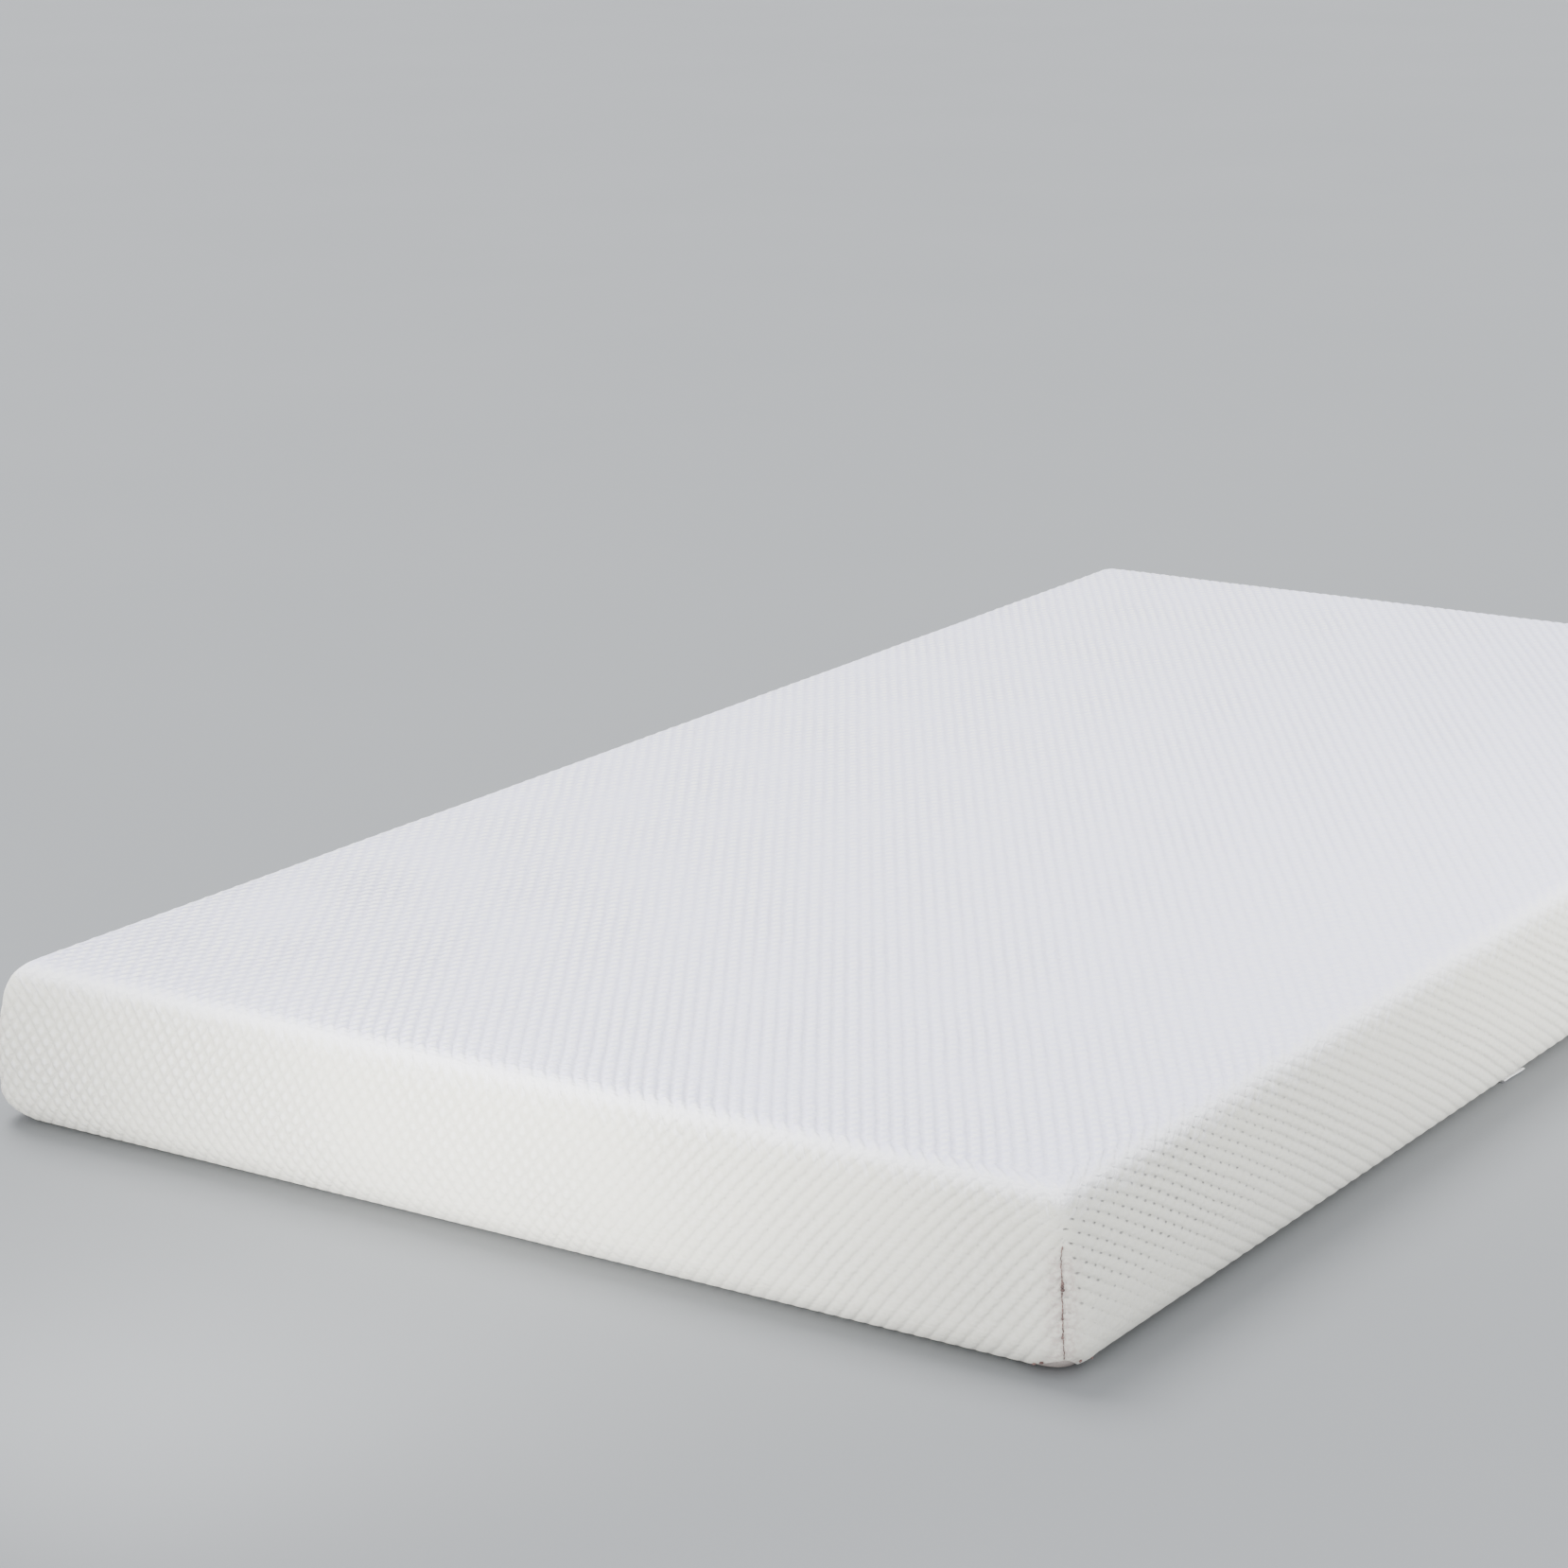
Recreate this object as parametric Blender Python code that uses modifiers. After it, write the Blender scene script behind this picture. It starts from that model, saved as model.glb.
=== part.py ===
"""Memory foam mattress in a knitted cover, with a base panel that zips off on three sides.

Metres, +Z up. X is the width, Y the length, and the origin is the centre of the underside.
With the zip undone, the body of the mattress turns up about the sewn left edge of the base panel.
"""
import math

import bmesh
import bpy
from mathutils import Matrix, Vector

# Overall size
WIDTH = 1.07
LENGTH = 1.90
HEIGHT = 0.14
GAP = 0.0003

# Section of the cover: a round top edge, a side that leans in towards the top, and a round bottom edge.
# An inset is measured from the side's fullest line.
TOP_EDGE_RADIUS = 0.022
BOTTOM_EDGE_RADIUS = 0.035
LEAN_START = 0.040
LEAN_ANGLE = math.radians(17.5)
LEAN_POWER = 1.5
PLAN_RADIUS = 0.033
TOP_PLAN_RADIUS = 0.008
PLAN_RADIUS_HEIGHT = 0.050
COVER_THICKNESS = 0.003
COVER_END = math.radians(42.0)
SEAM_ANGLE = math.radians(44.5)
BORDER_START = math.radians(47.0)

# Core, from the top down
LINER_THICKNESS = 0.0008
MEMORY_FOAM_THICKNESS = 0.040
LINER_BOTTOM = 0.0074
LINER_SLIT_HALF_LENGTH = 0.38
LINER_SLIT_HEIGHT = 0.070

# Base cloth. It lies on the floor, and rises to the plane of the zip along three sides.
CLOTH_THICKNESS = 0.0012
RISE_START_BORDER = 0.036
RISE_END_BORDER = 0.042
BORDER_EDGE = 0.0495
PANEL_EDGE = 0.0605
RISE_END_PANEL = 0.068
RISE_START_PANEL = 0.076
RISE_HEIGHT = 0.0026
HOOK = RISE_START_PANEL - GAP
HOOK_RADIUS_SHRINK = 2.07
WADDING_INSET = 0.080
WADDING_LEFT_INSET = 0.042

# Zip
ZIP_INSET = 0.055
ZIP_RADIUS = 0.030
TAPE_THICKNESS = 0.0006
TAPE_WIDTH = 0.012
TAPE_PLANE = 0.0046
COIL_GAP = 0.001
COIL_WIDTH = 0.0022
COIL_HEIGHT = 0.0024
TAPE_END = 0.051
FAR_COIL_END = 0.060
NEAR_COIL_START = 0.080
STOP_SIZE = (0.005, 0.005, COIL_HEIGHT)
STOP_PLACE = 0.054
SLIDER_PLACE = 0.0665
SLIDER_LENGTH = 0.016
SLIDER_WIDTH = 0.010
SLIDER_PLATE = 0.0008
SLIDER_CHANNEL = 0.0032
SLIDER_FLANGE = 0.0006
SLIDER_SLOT = 0.0016
SLIDER_WEB = 0.0005
BRIDGE_HALF_LENGTH = 0.0032
BRIDGE_WIDTH = 0.002
BRIDGE_BOTTOM = 0.0001
PULL_AXIS_HEIGHT = 0.00135
PULL_LENGTH = 0.021
PULL_WIDTH = 0.0056
PULL_THICKNESS = 0.001

# Threads and label
CORNER_SEAM_RADIUS = 0.0008
CORNER_SEAM_TOP = 0.100
CORNER_SEAM_BOTTOM = 0.021
RIGHT_SEAM_ANGLE = math.radians(52.7)
LEFT_SEAM_ANGLE = math.radians(38.0)
EDGE_SEAM_RADIUS = 0.0012
STITCH_RADIUS = 0.00035
STITCH_BORDER_INSET = 0.0455
STITCH_PANEL_INSET = 0.0645
LINER_SEAM_RADIUS = 0.0004
LABEL_LENGTH = 0.060
LABEL_CENTRE_Y = -0.171
LABEL_THICKNESS = 0.0004

TOP_STEPS = 6
LEAN_STEPS = 5
BOTTOM_STEPS = 5
CORNER_STEPS = 6


def clear_scene():
    for thing in list(bpy.data.objects):
        bpy.data.objects.remove(thing)


def new_collection(name):
    made = bpy.data.collections.new(name)
    bpy.context.scene.collection.children.link(made)
    return made


def finish_of(name, colour, roughness, metallic=0.0):
    made = bpy.data.materials.new(name)
    made.use_nodes = True
    shader = made.node_tree.nodes["Principled BSDF"]
    shader.inputs["Base Color"].default_value = (*colour, 1.0)
    shader.inputs["Roughness"].default_value = roughness
    shader.inputs["Metallic"].default_value = metallic
    made.diffuse_color = (*colour, 1.0)
    return made


def add_object(name, data, look, home):
    made = bpy.data.objects.new(name, data)
    data.materials.append(look)
    home.objects.link(made)
    return made


def attach(piece, pivot):
    piece.parent = pivot
    piece.matrix_parent_inverse = Matrix.Translation(-pivot.location)


def add_pivot(name, place, home):
    made = bpy.data.objects.new(name, None)
    made.empty_display_size = 0.03
    made.location = place
    home.objects.link(made)
    return made


# Lines in the section and in plan

def steps(start, end, count):
    return [start + (end - start) * k / count for k in range(count + 1)]


def bottom_arc(start, end, count):
    """The round bottom edge, where an angle of 0 is the fullest line and 90 degrees is the floor."""
    radius = BOTTOM_EDGE_RADIUS
    return [(radius - radius * math.cos(a), radius - radius * math.sin(a)) for a in steps(start, end, count)]


def section(end_angle):
    """Outer line of the cover, from its flat top down to an angle on the bottom edge."""
    lean_top = HEIGHT - TOP_EDGE_RADIUS * (1 - math.sin(LEAN_ANGLE))
    lean_height = lean_top - LEAN_START
    lean_depth = lean_height * math.tan(LEAN_ANGLE) / LEAN_POWER
    centre_inset = lean_depth + TOP_EDGE_RADIUS * math.cos(LEAN_ANGLE)
    centre_height = HEIGHT - TOP_EDGE_RADIUS
    line = []
    for angle in steps(math.pi / 2, LEAN_ANGLE, TOP_STEPS):
        line.append((
            centre_inset - TOP_EDGE_RADIUS * math.cos(angle),
            centre_height + TOP_EDGE_RADIUS * math.sin(angle),
        ))
    for share in steps(1.0, 0.0, LEAN_STEPS)[1:]:
        line.append((lean_depth * share ** LEAN_POWER, LEAN_START + lean_height * share))
    return line + bottom_arc(0.0, end_angle, BOTTOM_STEPS)


def offset_line(line, distance):
    """The line moved to its left, which is inwards on a section that runs from the top down."""
    points = [Vector(point) for point in line]
    ways = [(b - a).normalized() for a, b in zip(points, points[1:])]
    moved = []
    for k, point in enumerate(points):
        before = ways[max(k - 1, 0)]
        after = ways[min(k, len(ways) - 1)]
        middle = (before + after).normalized()
        normal = Vector((-middle.y, middle.x))
        stretch = 1.0 / max(middle.dot(after), 0.3)
        moved.append(tuple(point + normal * distance * stretch))
    return moved


def thick_line(line, thickness):
    return list(line) + offset_line(line, thickness)[::-1]


def clip_height(line, low, high):
    """The part of a falling line between two heights, with a point at each."""
    kept = []
    for (inset_a, height_a), (inset_b, height_b) in zip(line, line[1:]):
        for level in (high, low):
            if height_b < level < height_a:
                share = (height_a - level) / (height_a - height_b)
                kept.append((inset_a + (inset_b - inset_a) * share, level))
        if low < height_b < high:
            kept.append((inset_b, height_b))
    if low < line[0][1] <= high:
        kept.insert(0, line[0])
    return kept


def inset_at(line, height):
    return clip_height(line, height, HEIGHT)[-1][0]


def arc(centre_x, centre_y, radius, start_degrees):
    turns = steps(math.radians(start_degrees), math.radians(start_degrees + 90), CORNER_STEPS)
    return [(centre_x + radius * math.cos(a), centre_y + radius * math.sin(a)) for a in turns]


def plan_radius(height):
    """Tight at the top corners, where the cloth is pulled over the foam, and rounder down the side."""
    share = min(max((HEIGHT - height) / (HEIGHT - PLAN_RADIUS_HEIGHT), 0.0), 1.0)
    share = share * share * (3 - 2 * share)
    return TOP_PLAN_RADIUS + (PLAN_RADIUS - TOP_PLAN_RADIUS) * share


def ring(inset, height):
    """A closed rounded rectangle, anticlockwise from the near right corner."""
    radius = plan_radius(height)
    x = WIDTH / 2 - inset - radius
    y = LENGTH / 2 - inset - radius
    corners = ((x, -y, -90), (x, y, 0), (-x, y, 90), (-x, -y, 180))
    return [(*point, height) for cx, cy, start in corners for point in arc(cx, cy, radius, start)]


def right_radius(inset):
    """Plan radius at the two right corners: the cover's own outside, and the zip's curve inside."""
    if inset <= BOTTOM_EDGE_RADIUS:
        return PLAN_RADIUS
    if inset >= RISE_END_BORDER:
        return ZIP_RADIUS + ZIP_INSET - inset
    share = (inset - BOTTOM_EDGE_RADIUS) / (RISE_END_BORDER - BOTTOM_EDGE_RADIUS)
    return PLAN_RADIUS + (ZIP_RADIUS + ZIP_INSET - RISE_END_BORDER - PLAN_RADIUS) * share


def hooked_path(inset):
    """Round all four corners, from the near end of the left side to its far end."""
    x = WIDTH / 2 - inset
    y = LENGTH / 2 - inset
    left = PLAN_RADIUS - HOOK_RADIUS_SHRINK * max(inset - BOTTOM_EDGE_RADIUS, 0.0)
    right = right_radius(inset)
    end = LENGTH / 2 - HOOK
    return (
        [(-x, -end)]
        + arc(-x + left, -y + left, left, 180)
        + arc(x - right, -y + right, right, -90)
        + arc(x - right, y - right, right, 0)
        + arc(-x + left, y - left, left, 90)
        + [(-x, end)]
    )


def zip_path(inset, near_start, far_end):
    """Along the near short side, the right long side and the far short side."""
    x = WIDTH / 2 - inset
    y = LENGTH / 2 - inset
    right = right_radius(inset)
    return (
        [(-WIDTH / 2 + near_start, -y)]
        + arc(x - right, -y + right, right, -90)
        + arc(x - right, y - right, right, 0)
        + [(-WIDTH / 2 + far_end, y)]
    )


# Solids

def mesh_of(name, corners, faces, outward=True):
    mesh = bpy.data.meshes.new(name)
    build = bmesh.new()
    made = [build.verts.new(corner) for corner in corners]
    for face in faces:
        build.faces.new([made[k] for k in face])
    if outward:
        bmesh.ops.recalc_face_normals(build, faces=build.faces)
    build.to_mesh(mesh)
    build.free()
    return mesh


def smooth(mesh, sharp_degrees=40):
    mesh.shade_smooth()
    mesh.set_sharp_from_angle(angle=math.radians(sharp_degrees))


def loft_rings(name, rows, bottom_cap=True):
    """A surface through closed rings from the top down, closed at its top and, if wanted, at its bottom."""
    count = len(rows[0])
    corners = [point for row in rows for point in row]
    faces = [list(range(count))]
    for k in range(len(rows) - 1):
        for i in range(count):
            j = (i + 1) % count
            faces.append([k * count + i, (k + 1) * count + i, (k + 1) * count + j, k * count + j])
    if bottom_cap:
        faces.append([(len(rows) - 1) * count + i for i in range(count)][::-1])
    mesh = mesh_of(name, corners, faces, outward=bottom_cap)
    smooth(mesh)
    return mesh


def sweep(name, outline, path):
    """A closed outline of (inset, height) points, swept along a path that depends on the inset."""
    rows = [[(*point, height) for point in path(inset)] for inset, height in outline]
    count = len(rows[0])
    corners = [point for row in rows for point in row]
    faces = []
    for k in range(len(rows)):
        below = (k + 1) % len(rows)
        for i in range(count - 1):
            faces.append([k * count + i, below * count + i, below * count + i + 1, k * count + i + 1])
    faces.append([k * count for k in range(len(rows))])
    faces.append([k * count + count - 1 for k in range(len(rows))][::-1])
    mesh = mesh_of(name, corners, faces)
    smooth(mesh)
    return mesh


def box_outline(inset_a, inset_b, height_a, height_b):
    return [(inset_a, height_a), (inset_b, height_a), (inset_b, height_b), (inset_a, height_b)]


def box_mesh(name, size, centre, bevel=0.0):
    mesh = bpy.data.meshes.new(name)
    build = bmesh.new()
    place = Matrix.Translation(centre) @ Matrix.Diagonal((*size, 1.0))
    bmesh.ops.create_cube(build, size=1.0, matrix=place)
    if bevel:
        bmesh.ops.bevel(
            build, geom=build.edges[:], offset=bevel, segments=2, profile=0.5, affect="EDGES"
        )
    build.to_mesh(mesh)
    build.free()
    return mesh


def thread(name, points, radius, look, home):
    """A round thread or bead of stitches along a list of points."""
    curve = bpy.data.curves.new(name, "CURVE")
    curve.dimensions = "3D"
    curve.bevel_depth = radius
    curve.bevel_resolution = 2
    curve.use_fill_caps = True
    spline = curve.splines.new("POLY")
    spline.points.add(len(points) - 1)
    for target, point in zip(spline.points, points):
        target.co = (*point, 1.0)
    return add_object(name, curve, look, home)


def boolean(piece, tool, operation):
    step = piece.modifiers.new(tool.name, "BOOLEAN")
    step.operation = operation
    step.object = tool
    step.solver = "EXACT"


def add_tool(name, mesh, home):
    tool = bpy.data.objects.new(name, mesh)
    tool.display_type = "WIRE"
    tool.hide_render = True
    home.objects.link(tool)
    return tool


# Core and cover

def core_line(inward):
    return offset_line(section(math.pi / 2), inward)


def add_core(home, tools):
    foam_inward = COVER_THICKNESS + GAP + LINER_THICKNESS + GAP
    foam = core_line(foam_inward)
    foam_top = HEIGHT - foam_inward
    joint = foam_top - MEMORY_FOAM_THICKNESS
    foam_bottom = LINER_BOTTOM + LINER_THICKNESS + GAP
    layers = (
        ("memory_foam_layer", joint, foam_top, finish_of("memory foam", (0.86, 0.83, 0.70), 0.85)),
        ("support_foam_base", foam_bottom, joint - GAP, finish_of("support foam", (0.78, 0.80, 0.83), 0.9)),
    )
    pieces = []
    for name, low, high, look in layers:
        rows = [ring(inset, height) for inset, height in clip_height(foam, low, high)]
        pieces.append(add_object(name, loft_rings(name, rows), look, home))

    outer = clip_height(core_line(COVER_THICKNESS + GAP), LINER_BOTTOM, HEIGHT)
    inner = clip_height(
        core_line(COVER_THICKNESS + GAP + LINER_THICKNESS), LINER_BOTTOM + LINER_THICKNESS, HEIGHT
    )
    liner = add_object(
        "inner_liner",
        loft_rings("inner_liner", [ring(*point) for point in outer]),
        finish_of("stockinette", (0.90, 0.89, 0.86), 0.9),
        home,
    )
    hollow = add_tool("liner_hollow", loft_rings("liner_hollow", [ring(*point) for point in inner]), tools)
    far_wall = LENGTH / 2 - inset_at(outer, LINER_SLIT_HEIGHT)
    slit_size = (2 * LINER_SLIT_HALF_LENGTH, 0.02, 0.003)
    slit_mesh = box_mesh("liner_slit", slit_size, (0.0, far_wall, LINER_SLIT_HEIGHT))
    slit = add_tool("liner_slit", slit_mesh, tools)
    boolean(liner, hollow, "DIFFERENCE")
    boolean(liner, slit, "DIFFERENCE")
    seam_reach = LINER_SLIT_HALF_LENGTH - 0.002
    seam_y = far_wall - LINER_THICKNESS / 2
    seam = thread(
        "liner_closing_seam",
        [(-seam_reach, seam_y, LINER_SLIT_HEIGHT), (seam_reach, seam_y, LINER_SLIT_HEIGHT)],
        LINER_SEAM_RADIUS,
        finish_of("liner thread", (0.82, 0.81, 0.78), 0.8),
        home,
    )
    return pieces + [liner, seam]


def add_cover(home):
    rows = [ring(inset, height) for inset, height in section(COVER_END)]
    mesh = loft_rings("knitted_cover", rows, bottom_cap=False)
    cover = add_object("knitted_cover", mesh, finish_of("knit", (0.80, 0.80, 0.79), 0.9), home)
    wall = cover.modifiers.new("thickness", "SOLIDIFY")
    wall.thickness = COVER_THICKNESS
    wall.offset = -1.0
    wall.use_even_offset = True
    return cover


def add_corner_seams(home):
    """One line of stitches up each corner: towards the short side on the right, the long side on the left."""
    look = finish_of("corner thread", (0.30, 0.25, 0.24), 0.8)
    line = clip_height(section(COVER_END), CORNER_SEAM_BOTTOM, CORNER_SEAM_TOP)
    line = offset_line(line, -(CORNER_SEAM_RADIUS + GAP / 3))
    seams = []
    for end, y_sign in (("front", -1), ("back", 1)):
        for side, x_sign, turn in (("right", 1, RIGHT_SEAM_ANGLE), ("left", -1, LEFT_SEAM_ANGLE)):
            points = []
            for inset, height in line:
                in_x = inset + plan_radius(height) * (1 - math.cos(turn))
                in_y = inset + plan_radius(height) * (1 - math.sin(turn))
                points.append((x_sign * (WIDTH / 2 - in_x), y_sign * (LENGTH / 2 - in_y), height))
            seams.append(thread(f"corner_seam_{end}_{side}", points, CORNER_SEAM_RADIUS, look, home))
    return seams


# Base

def seam_place():
    return bottom_arc(SEAM_ANGLE, SEAM_ANGLE, 1)[0]


def add_border(home):
    line = bottom_arc(BORDER_START, math.pi / 2, BOTTOM_STEPS)
    line += [(RISE_START_BORDER, 0.0), (RISE_END_BORDER, RISE_HEIGHT), (BORDER_EDGE, RISE_HEIGHT)]
    mesh = sweep("base_border", thick_line(line, CLOTH_THICKNESS), hooked_path)
    border = add_object("base_border", mesh, finish_of("border cloth", (0.74, 0.73, 0.72), 0.9), home)
    inset, height = seam_place()
    seam = thread(
        "base_edge_seam",
        [(*point, height) for point in hooked_path(inset)],
        EDGE_SEAM_RADIUS,
        finish_of("edge seam thread", (0.42, 0.37, 0.35), 0.85),
        home,
    )
    return [border, seam]


def panel_row(inset):
    """The panel's edge line along its near, right and far sides, from the left strip and back to it."""
    start = BORDER_EDGE + GAP
    return zip_path(inset, start, start)


def add_panel(home):
    """Cloth with its left strip curled up to the hinge seam, and its other edges up to the zip."""
    rows = (
        [(*point, RISE_HEIGHT) for point in panel_row(PANEL_EDGE)],
        [(*point, RISE_HEIGHT) for point in panel_row(RISE_END_PANEL)],
        [(*point, 0.0) for point in panel_row(RISE_START_PANEL)],
    )
    count = len(rows[0])
    corners = [point for row in rows for point in row]
    faces = []
    for k in range(len(rows) - 1):
        for i in range(count - 1):
            faces.append([k * count + i, k * count + i + 1, (k + 1) * count + i + 1, (k + 1) * count + i])
    faces.append(list(range(2 * count, 3 * count)))
    last_near, last_far = 2 * count, 3 * count - 1
    reach = LENGTH / 2 - RISE_START_PANEL
    for inset, height in bottom_arc(math.pi / 2, BORDER_START, BOTTOM_STEPS):
        near = len(corners)
        corners += [(-WIDTH / 2 + inset, -reach, height), (-WIDTH / 2 + inset, reach, height)]
        faces.append([last_near, last_far, near + 1, near])
        last_near, last_far = near, near + 1
    mesh = mesh_of("base_panel", corners, faces)
    if sum(face.normal.z * face.area for face in mesh.polygons) < 0:
        mesh.flip_normals()
    smooth(mesh)
    panel = add_object("base_panel", mesh, finish_of("base cloth", (0.72, 0.71, 0.70), 0.9), home)
    wall = panel.modifiers.new("thickness", "SOLIDIFY")
    wall.thickness = CLOTH_THICKNESS
    wall.offset = 1.0
    wall.use_even_offset = True
    inset, height = seam_place()
    seam_reach = reach - GAP
    seam = thread(
        "hinge_seam",
        [(-WIDTH / 2 + inset, y, height) for y in (-seam_reach, seam_reach)],
        EDGE_SEAM_RADIUS,
        finish_of("hinge thread", (0.45, 0.40, 0.38), 0.85),
        home,
    )
    return [panel, seam]


def add_wadding(home):
    left = -WIDTH / 2 + WADDING_LEFT_INSET
    right = WIDTH / 2 - WADDING_INSET
    low = CLOTH_THICKNESS + GAP
    high = LINER_BOTTOM - GAP
    size = (right - left, LENGTH - 2 * WADDING_INSET, high - low)
    centre = ((left + right) / 2, 0.0, (low + high) / 2)
    mesh = box_mesh("base_wadding", size, centre, bevel=0.0015)
    return [add_object("base_wadding", mesh, finish_of("fibre pad", (0.92, 0.92, 0.92), 0.95), home)]


# Zip

def add_zip_side(side, outward, home):
    """Tape, coil and stitching of one side of the zip: the cover's is outward, the base's inward."""
    coil_near = ZIP_INSET - outward * COIL_GAP / 2
    coil_far = coil_near - outward * COIL_WIDTH
    tape_near = coil_far - outward * GAP
    tape_far = tape_near - outward * TAPE_WIDTH
    near_start = NEAR_COIL_START if outward > 0 else TAPE_END
    far_end = FAR_COIL_END if outward > 0 else TAPE_END
    half_tape = TAPE_THICKNESS / 2
    half_coil = COIL_HEIGHT / 2
    stitch_inset = STITCH_BORDER_INSET if outward > 0 else STITCH_PANEL_INSET

    tape_name = f"zip_tape_{side}"
    tape_shape = box_outline(tape_near, tape_far, TAPE_PLANE - half_tape, TAPE_PLANE + half_tape)
    tape_mesh = sweep(tape_name, tape_shape, lambda inset: zip_path(inset, near_start, far_end))
    tape = add_object(tape_name, tape_mesh, finish_of(f"{side} tape weave", (0.83, 0.82, 0.80), 0.85), home)

    coil_name = f"zip_coil_{side}"
    coil_shape = box_outline(coil_near, coil_far, TAPE_PLANE - half_coil, TAPE_PLANE + half_coil)
    coil_mesh = sweep(coil_name, coil_shape, lambda inset: zip_path(inset, NEAR_COIL_START, FAR_COIL_END))
    coil = add_object(coil_name, coil_mesh, finish_of(f"{side} coil nylon", (0.88, 0.88, 0.86), 0.45), home)

    stitch_height = RISE_HEIGHT - GAP - STITCH_RADIUS
    stitches = thread(
        f"zip_stitching_{side}",
        [(*point, stitch_height) for point in zip_path(stitch_inset, NEAR_COIL_START, FAR_COIL_END)],
        STITCH_RADIUS,
        finish_of(f"{side} stitching thread", (0.85, 0.84, 0.82), 0.8),
        home,
    )
    return [tape, coil, stitches]


def add_end_stops(home):
    look = finish_of("stop metal", (0.70, 0.70, 0.72), 0.35, 0.9)
    stops = []
    for end, y_sign in (("near", -1), ("far", 1)):
        centre = (-WIDTH / 2 + STOP_PLACE, y_sign * (LENGTH / 2 - ZIP_INSET), TAPE_PLANE)
        name = f"zip_end_stop_{end}"
        stops.append(add_object(name, box_mesh(name, STOP_SIZE, centre, bevel=0.0004), look, home))
    return stops


def slider_centre():
    return Vector((-WIDTH / 2 + SLIDER_PLACE, -LENGTH / 2 + ZIP_INSET, TAPE_PLANE))


def add_slider(home, tools):
    """Two plates round the coils, joined by a web between them, with flanges and a bridge for the pull."""
    centre = slider_centre()
    outside = SLIDER_CHANNEL / 2 + SLIDER_PLATE
    plate_size = (SLIDER_LENGTH, SLIDER_WIDTH, SLIDER_PLATE)
    plate_offset = SLIDER_CHANNEL / 2 + SLIDER_PLATE / 2
    overlap = SLIDER_PLATE / 2
    flange_height = (SLIDER_CHANNEL - SLIDER_SLOT) / 2 + overlap
    flange_middle = SLIDER_SLOT / 2 + flange_height / 2
    flange_y = (SLIDER_WIDTH - SLIDER_FLANGE) / 2
    shapes = [
        ("plate_bottom", plate_size, Vector((0.0, 0.0, -plate_offset))),
        ("web", (0.004, SLIDER_WEB, 2 * plate_offset), Vector((0.005, 0.0, 0.0))),
    ]
    for z_sign in (-1, 1):
        for y_sign in (-1, 1):
            name = f"flange_{z_sign}_{y_sign}"
            place = Vector((0.0, y_sign * flange_y, z_sign * flange_middle))
            shapes.append((name, (SLIDER_LENGTH - 0.001, SLIDER_FLANGE, flange_height), place))
    bridge_top = centre.z - outside + overlap
    column_height = bridge_top - BRIDGE_BOTTOM
    column_middle = (bridge_top + BRIDGE_BOTTOM) / 2 - centre.z
    column = 0.0006
    for x_sign in (-1, 1):
        place = Vector((x_sign * (BRIDGE_HALF_LENGTH - column / 2), 0.0, column_middle))
        shapes.append((f"column_{x_sign}", (column, BRIDGE_WIDTH, column_height), place))
    bar = 0.00045
    bar_place = Vector((0.0, 0.0, BRIDGE_BOTTOM + bar / 2 - centre.z))
    shapes.append(("bridge_bar", (2 * BRIDGE_HALF_LENGTH - column, BRIDGE_WIDTH - 0.0002, bar), bar_place))

    top_place = centre + Vector((0.0, 0.0, plate_offset))
    slider = add_object(
        "zip_slider",
        box_mesh("zip_slider", plate_size, (0.0, 0.0, 0.0)),
        finish_of("slider metal", (0.66, 0.66, 0.68), 0.35, 0.9),
        home,
    )
    slider.location = top_place
    for name, size, place in shapes:
        tool = add_tool(f"slider_{name}", box_mesh(f"slider_{name}", size, (0.0, 0.0, 0.0)), tools)
        tool.location = centre + place
        boolean(slider, tool, "UNION")
    return slider


def rounded_outline(x_low, x_high, half_width, radius):
    return (
        arc(x_high - radius, -half_width + radius, radius, -90)
        + arc(x_high - radius, half_width - radius, radius, 0)
        + arc(x_low + radius, half_width - radius, radius, 90)
        + arc(x_low + radius, -half_width + radius, radius, 180)
    )


def add_pull(home):
    """A flat tab with a window, whose end bar turns in the slider's bridge."""
    curve = bpy.data.curves.new("zip_pull", "CURVE")
    curve.dimensions = "2D"
    curve.fill_mode = "BOTH"
    curve.extrude = PULL_THICKNESS / 2
    bar = 0.0004
    tab = rounded_outline(-PULL_LENGTH + bar, bar, PULL_WIDTH / 2, 0.0003)
    window = rounded_outline(-0.0042, -bar, 0.0015, 0.0002)
    for outline in (tab, window):
        spline = curve.splines.new("POLY")
        spline.points.add(len(outline) - 1)
        for target, point in zip(spline.points, outline):
            target.co = (*point, 0.0, 1.0)
        spline.use_cyclic_u = True
    pull = add_object("zip_pull", curve, finish_of("pull metal", (0.68, 0.68, 0.70), 0.3, 0.9), home)
    centre = slider_centre()
    pull.location = (centre.x, centre.y, PULL_AXIS_HEIGHT)
    return pull


def add_label(home):
    """A blank tab that hangs from the base seam of the right side and bends out on the floor."""
    line = [(0.0089, 0.0084), (0.0062, 0.0046), (0.0036, 0.0017), (0.0009, 0.00055)]
    outline = thick_line(line, LABEL_THICKNESS)
    corners = []
    for y in (LABEL_CENTRE_Y - LABEL_LENGTH / 2, LABEL_CENTRE_Y + LABEL_LENGTH / 2):
        corners += [(WIDTH / 2 - inset, y, height) for inset, height in outline]
    count = len(outline)
    faces = [list(range(count)), list(range(2 * count - 1, count - 1, -1))]
    for k in range(count):
        after = (k + 1) % count
        faces.append([k, after, after + count, k + count])
    mesh = mesh_of("care_label", corners, faces)
    return add_object("care_label", mesh, finish_of("label satin", (0.90, 0.90, 0.89), 0.5), home)


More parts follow.
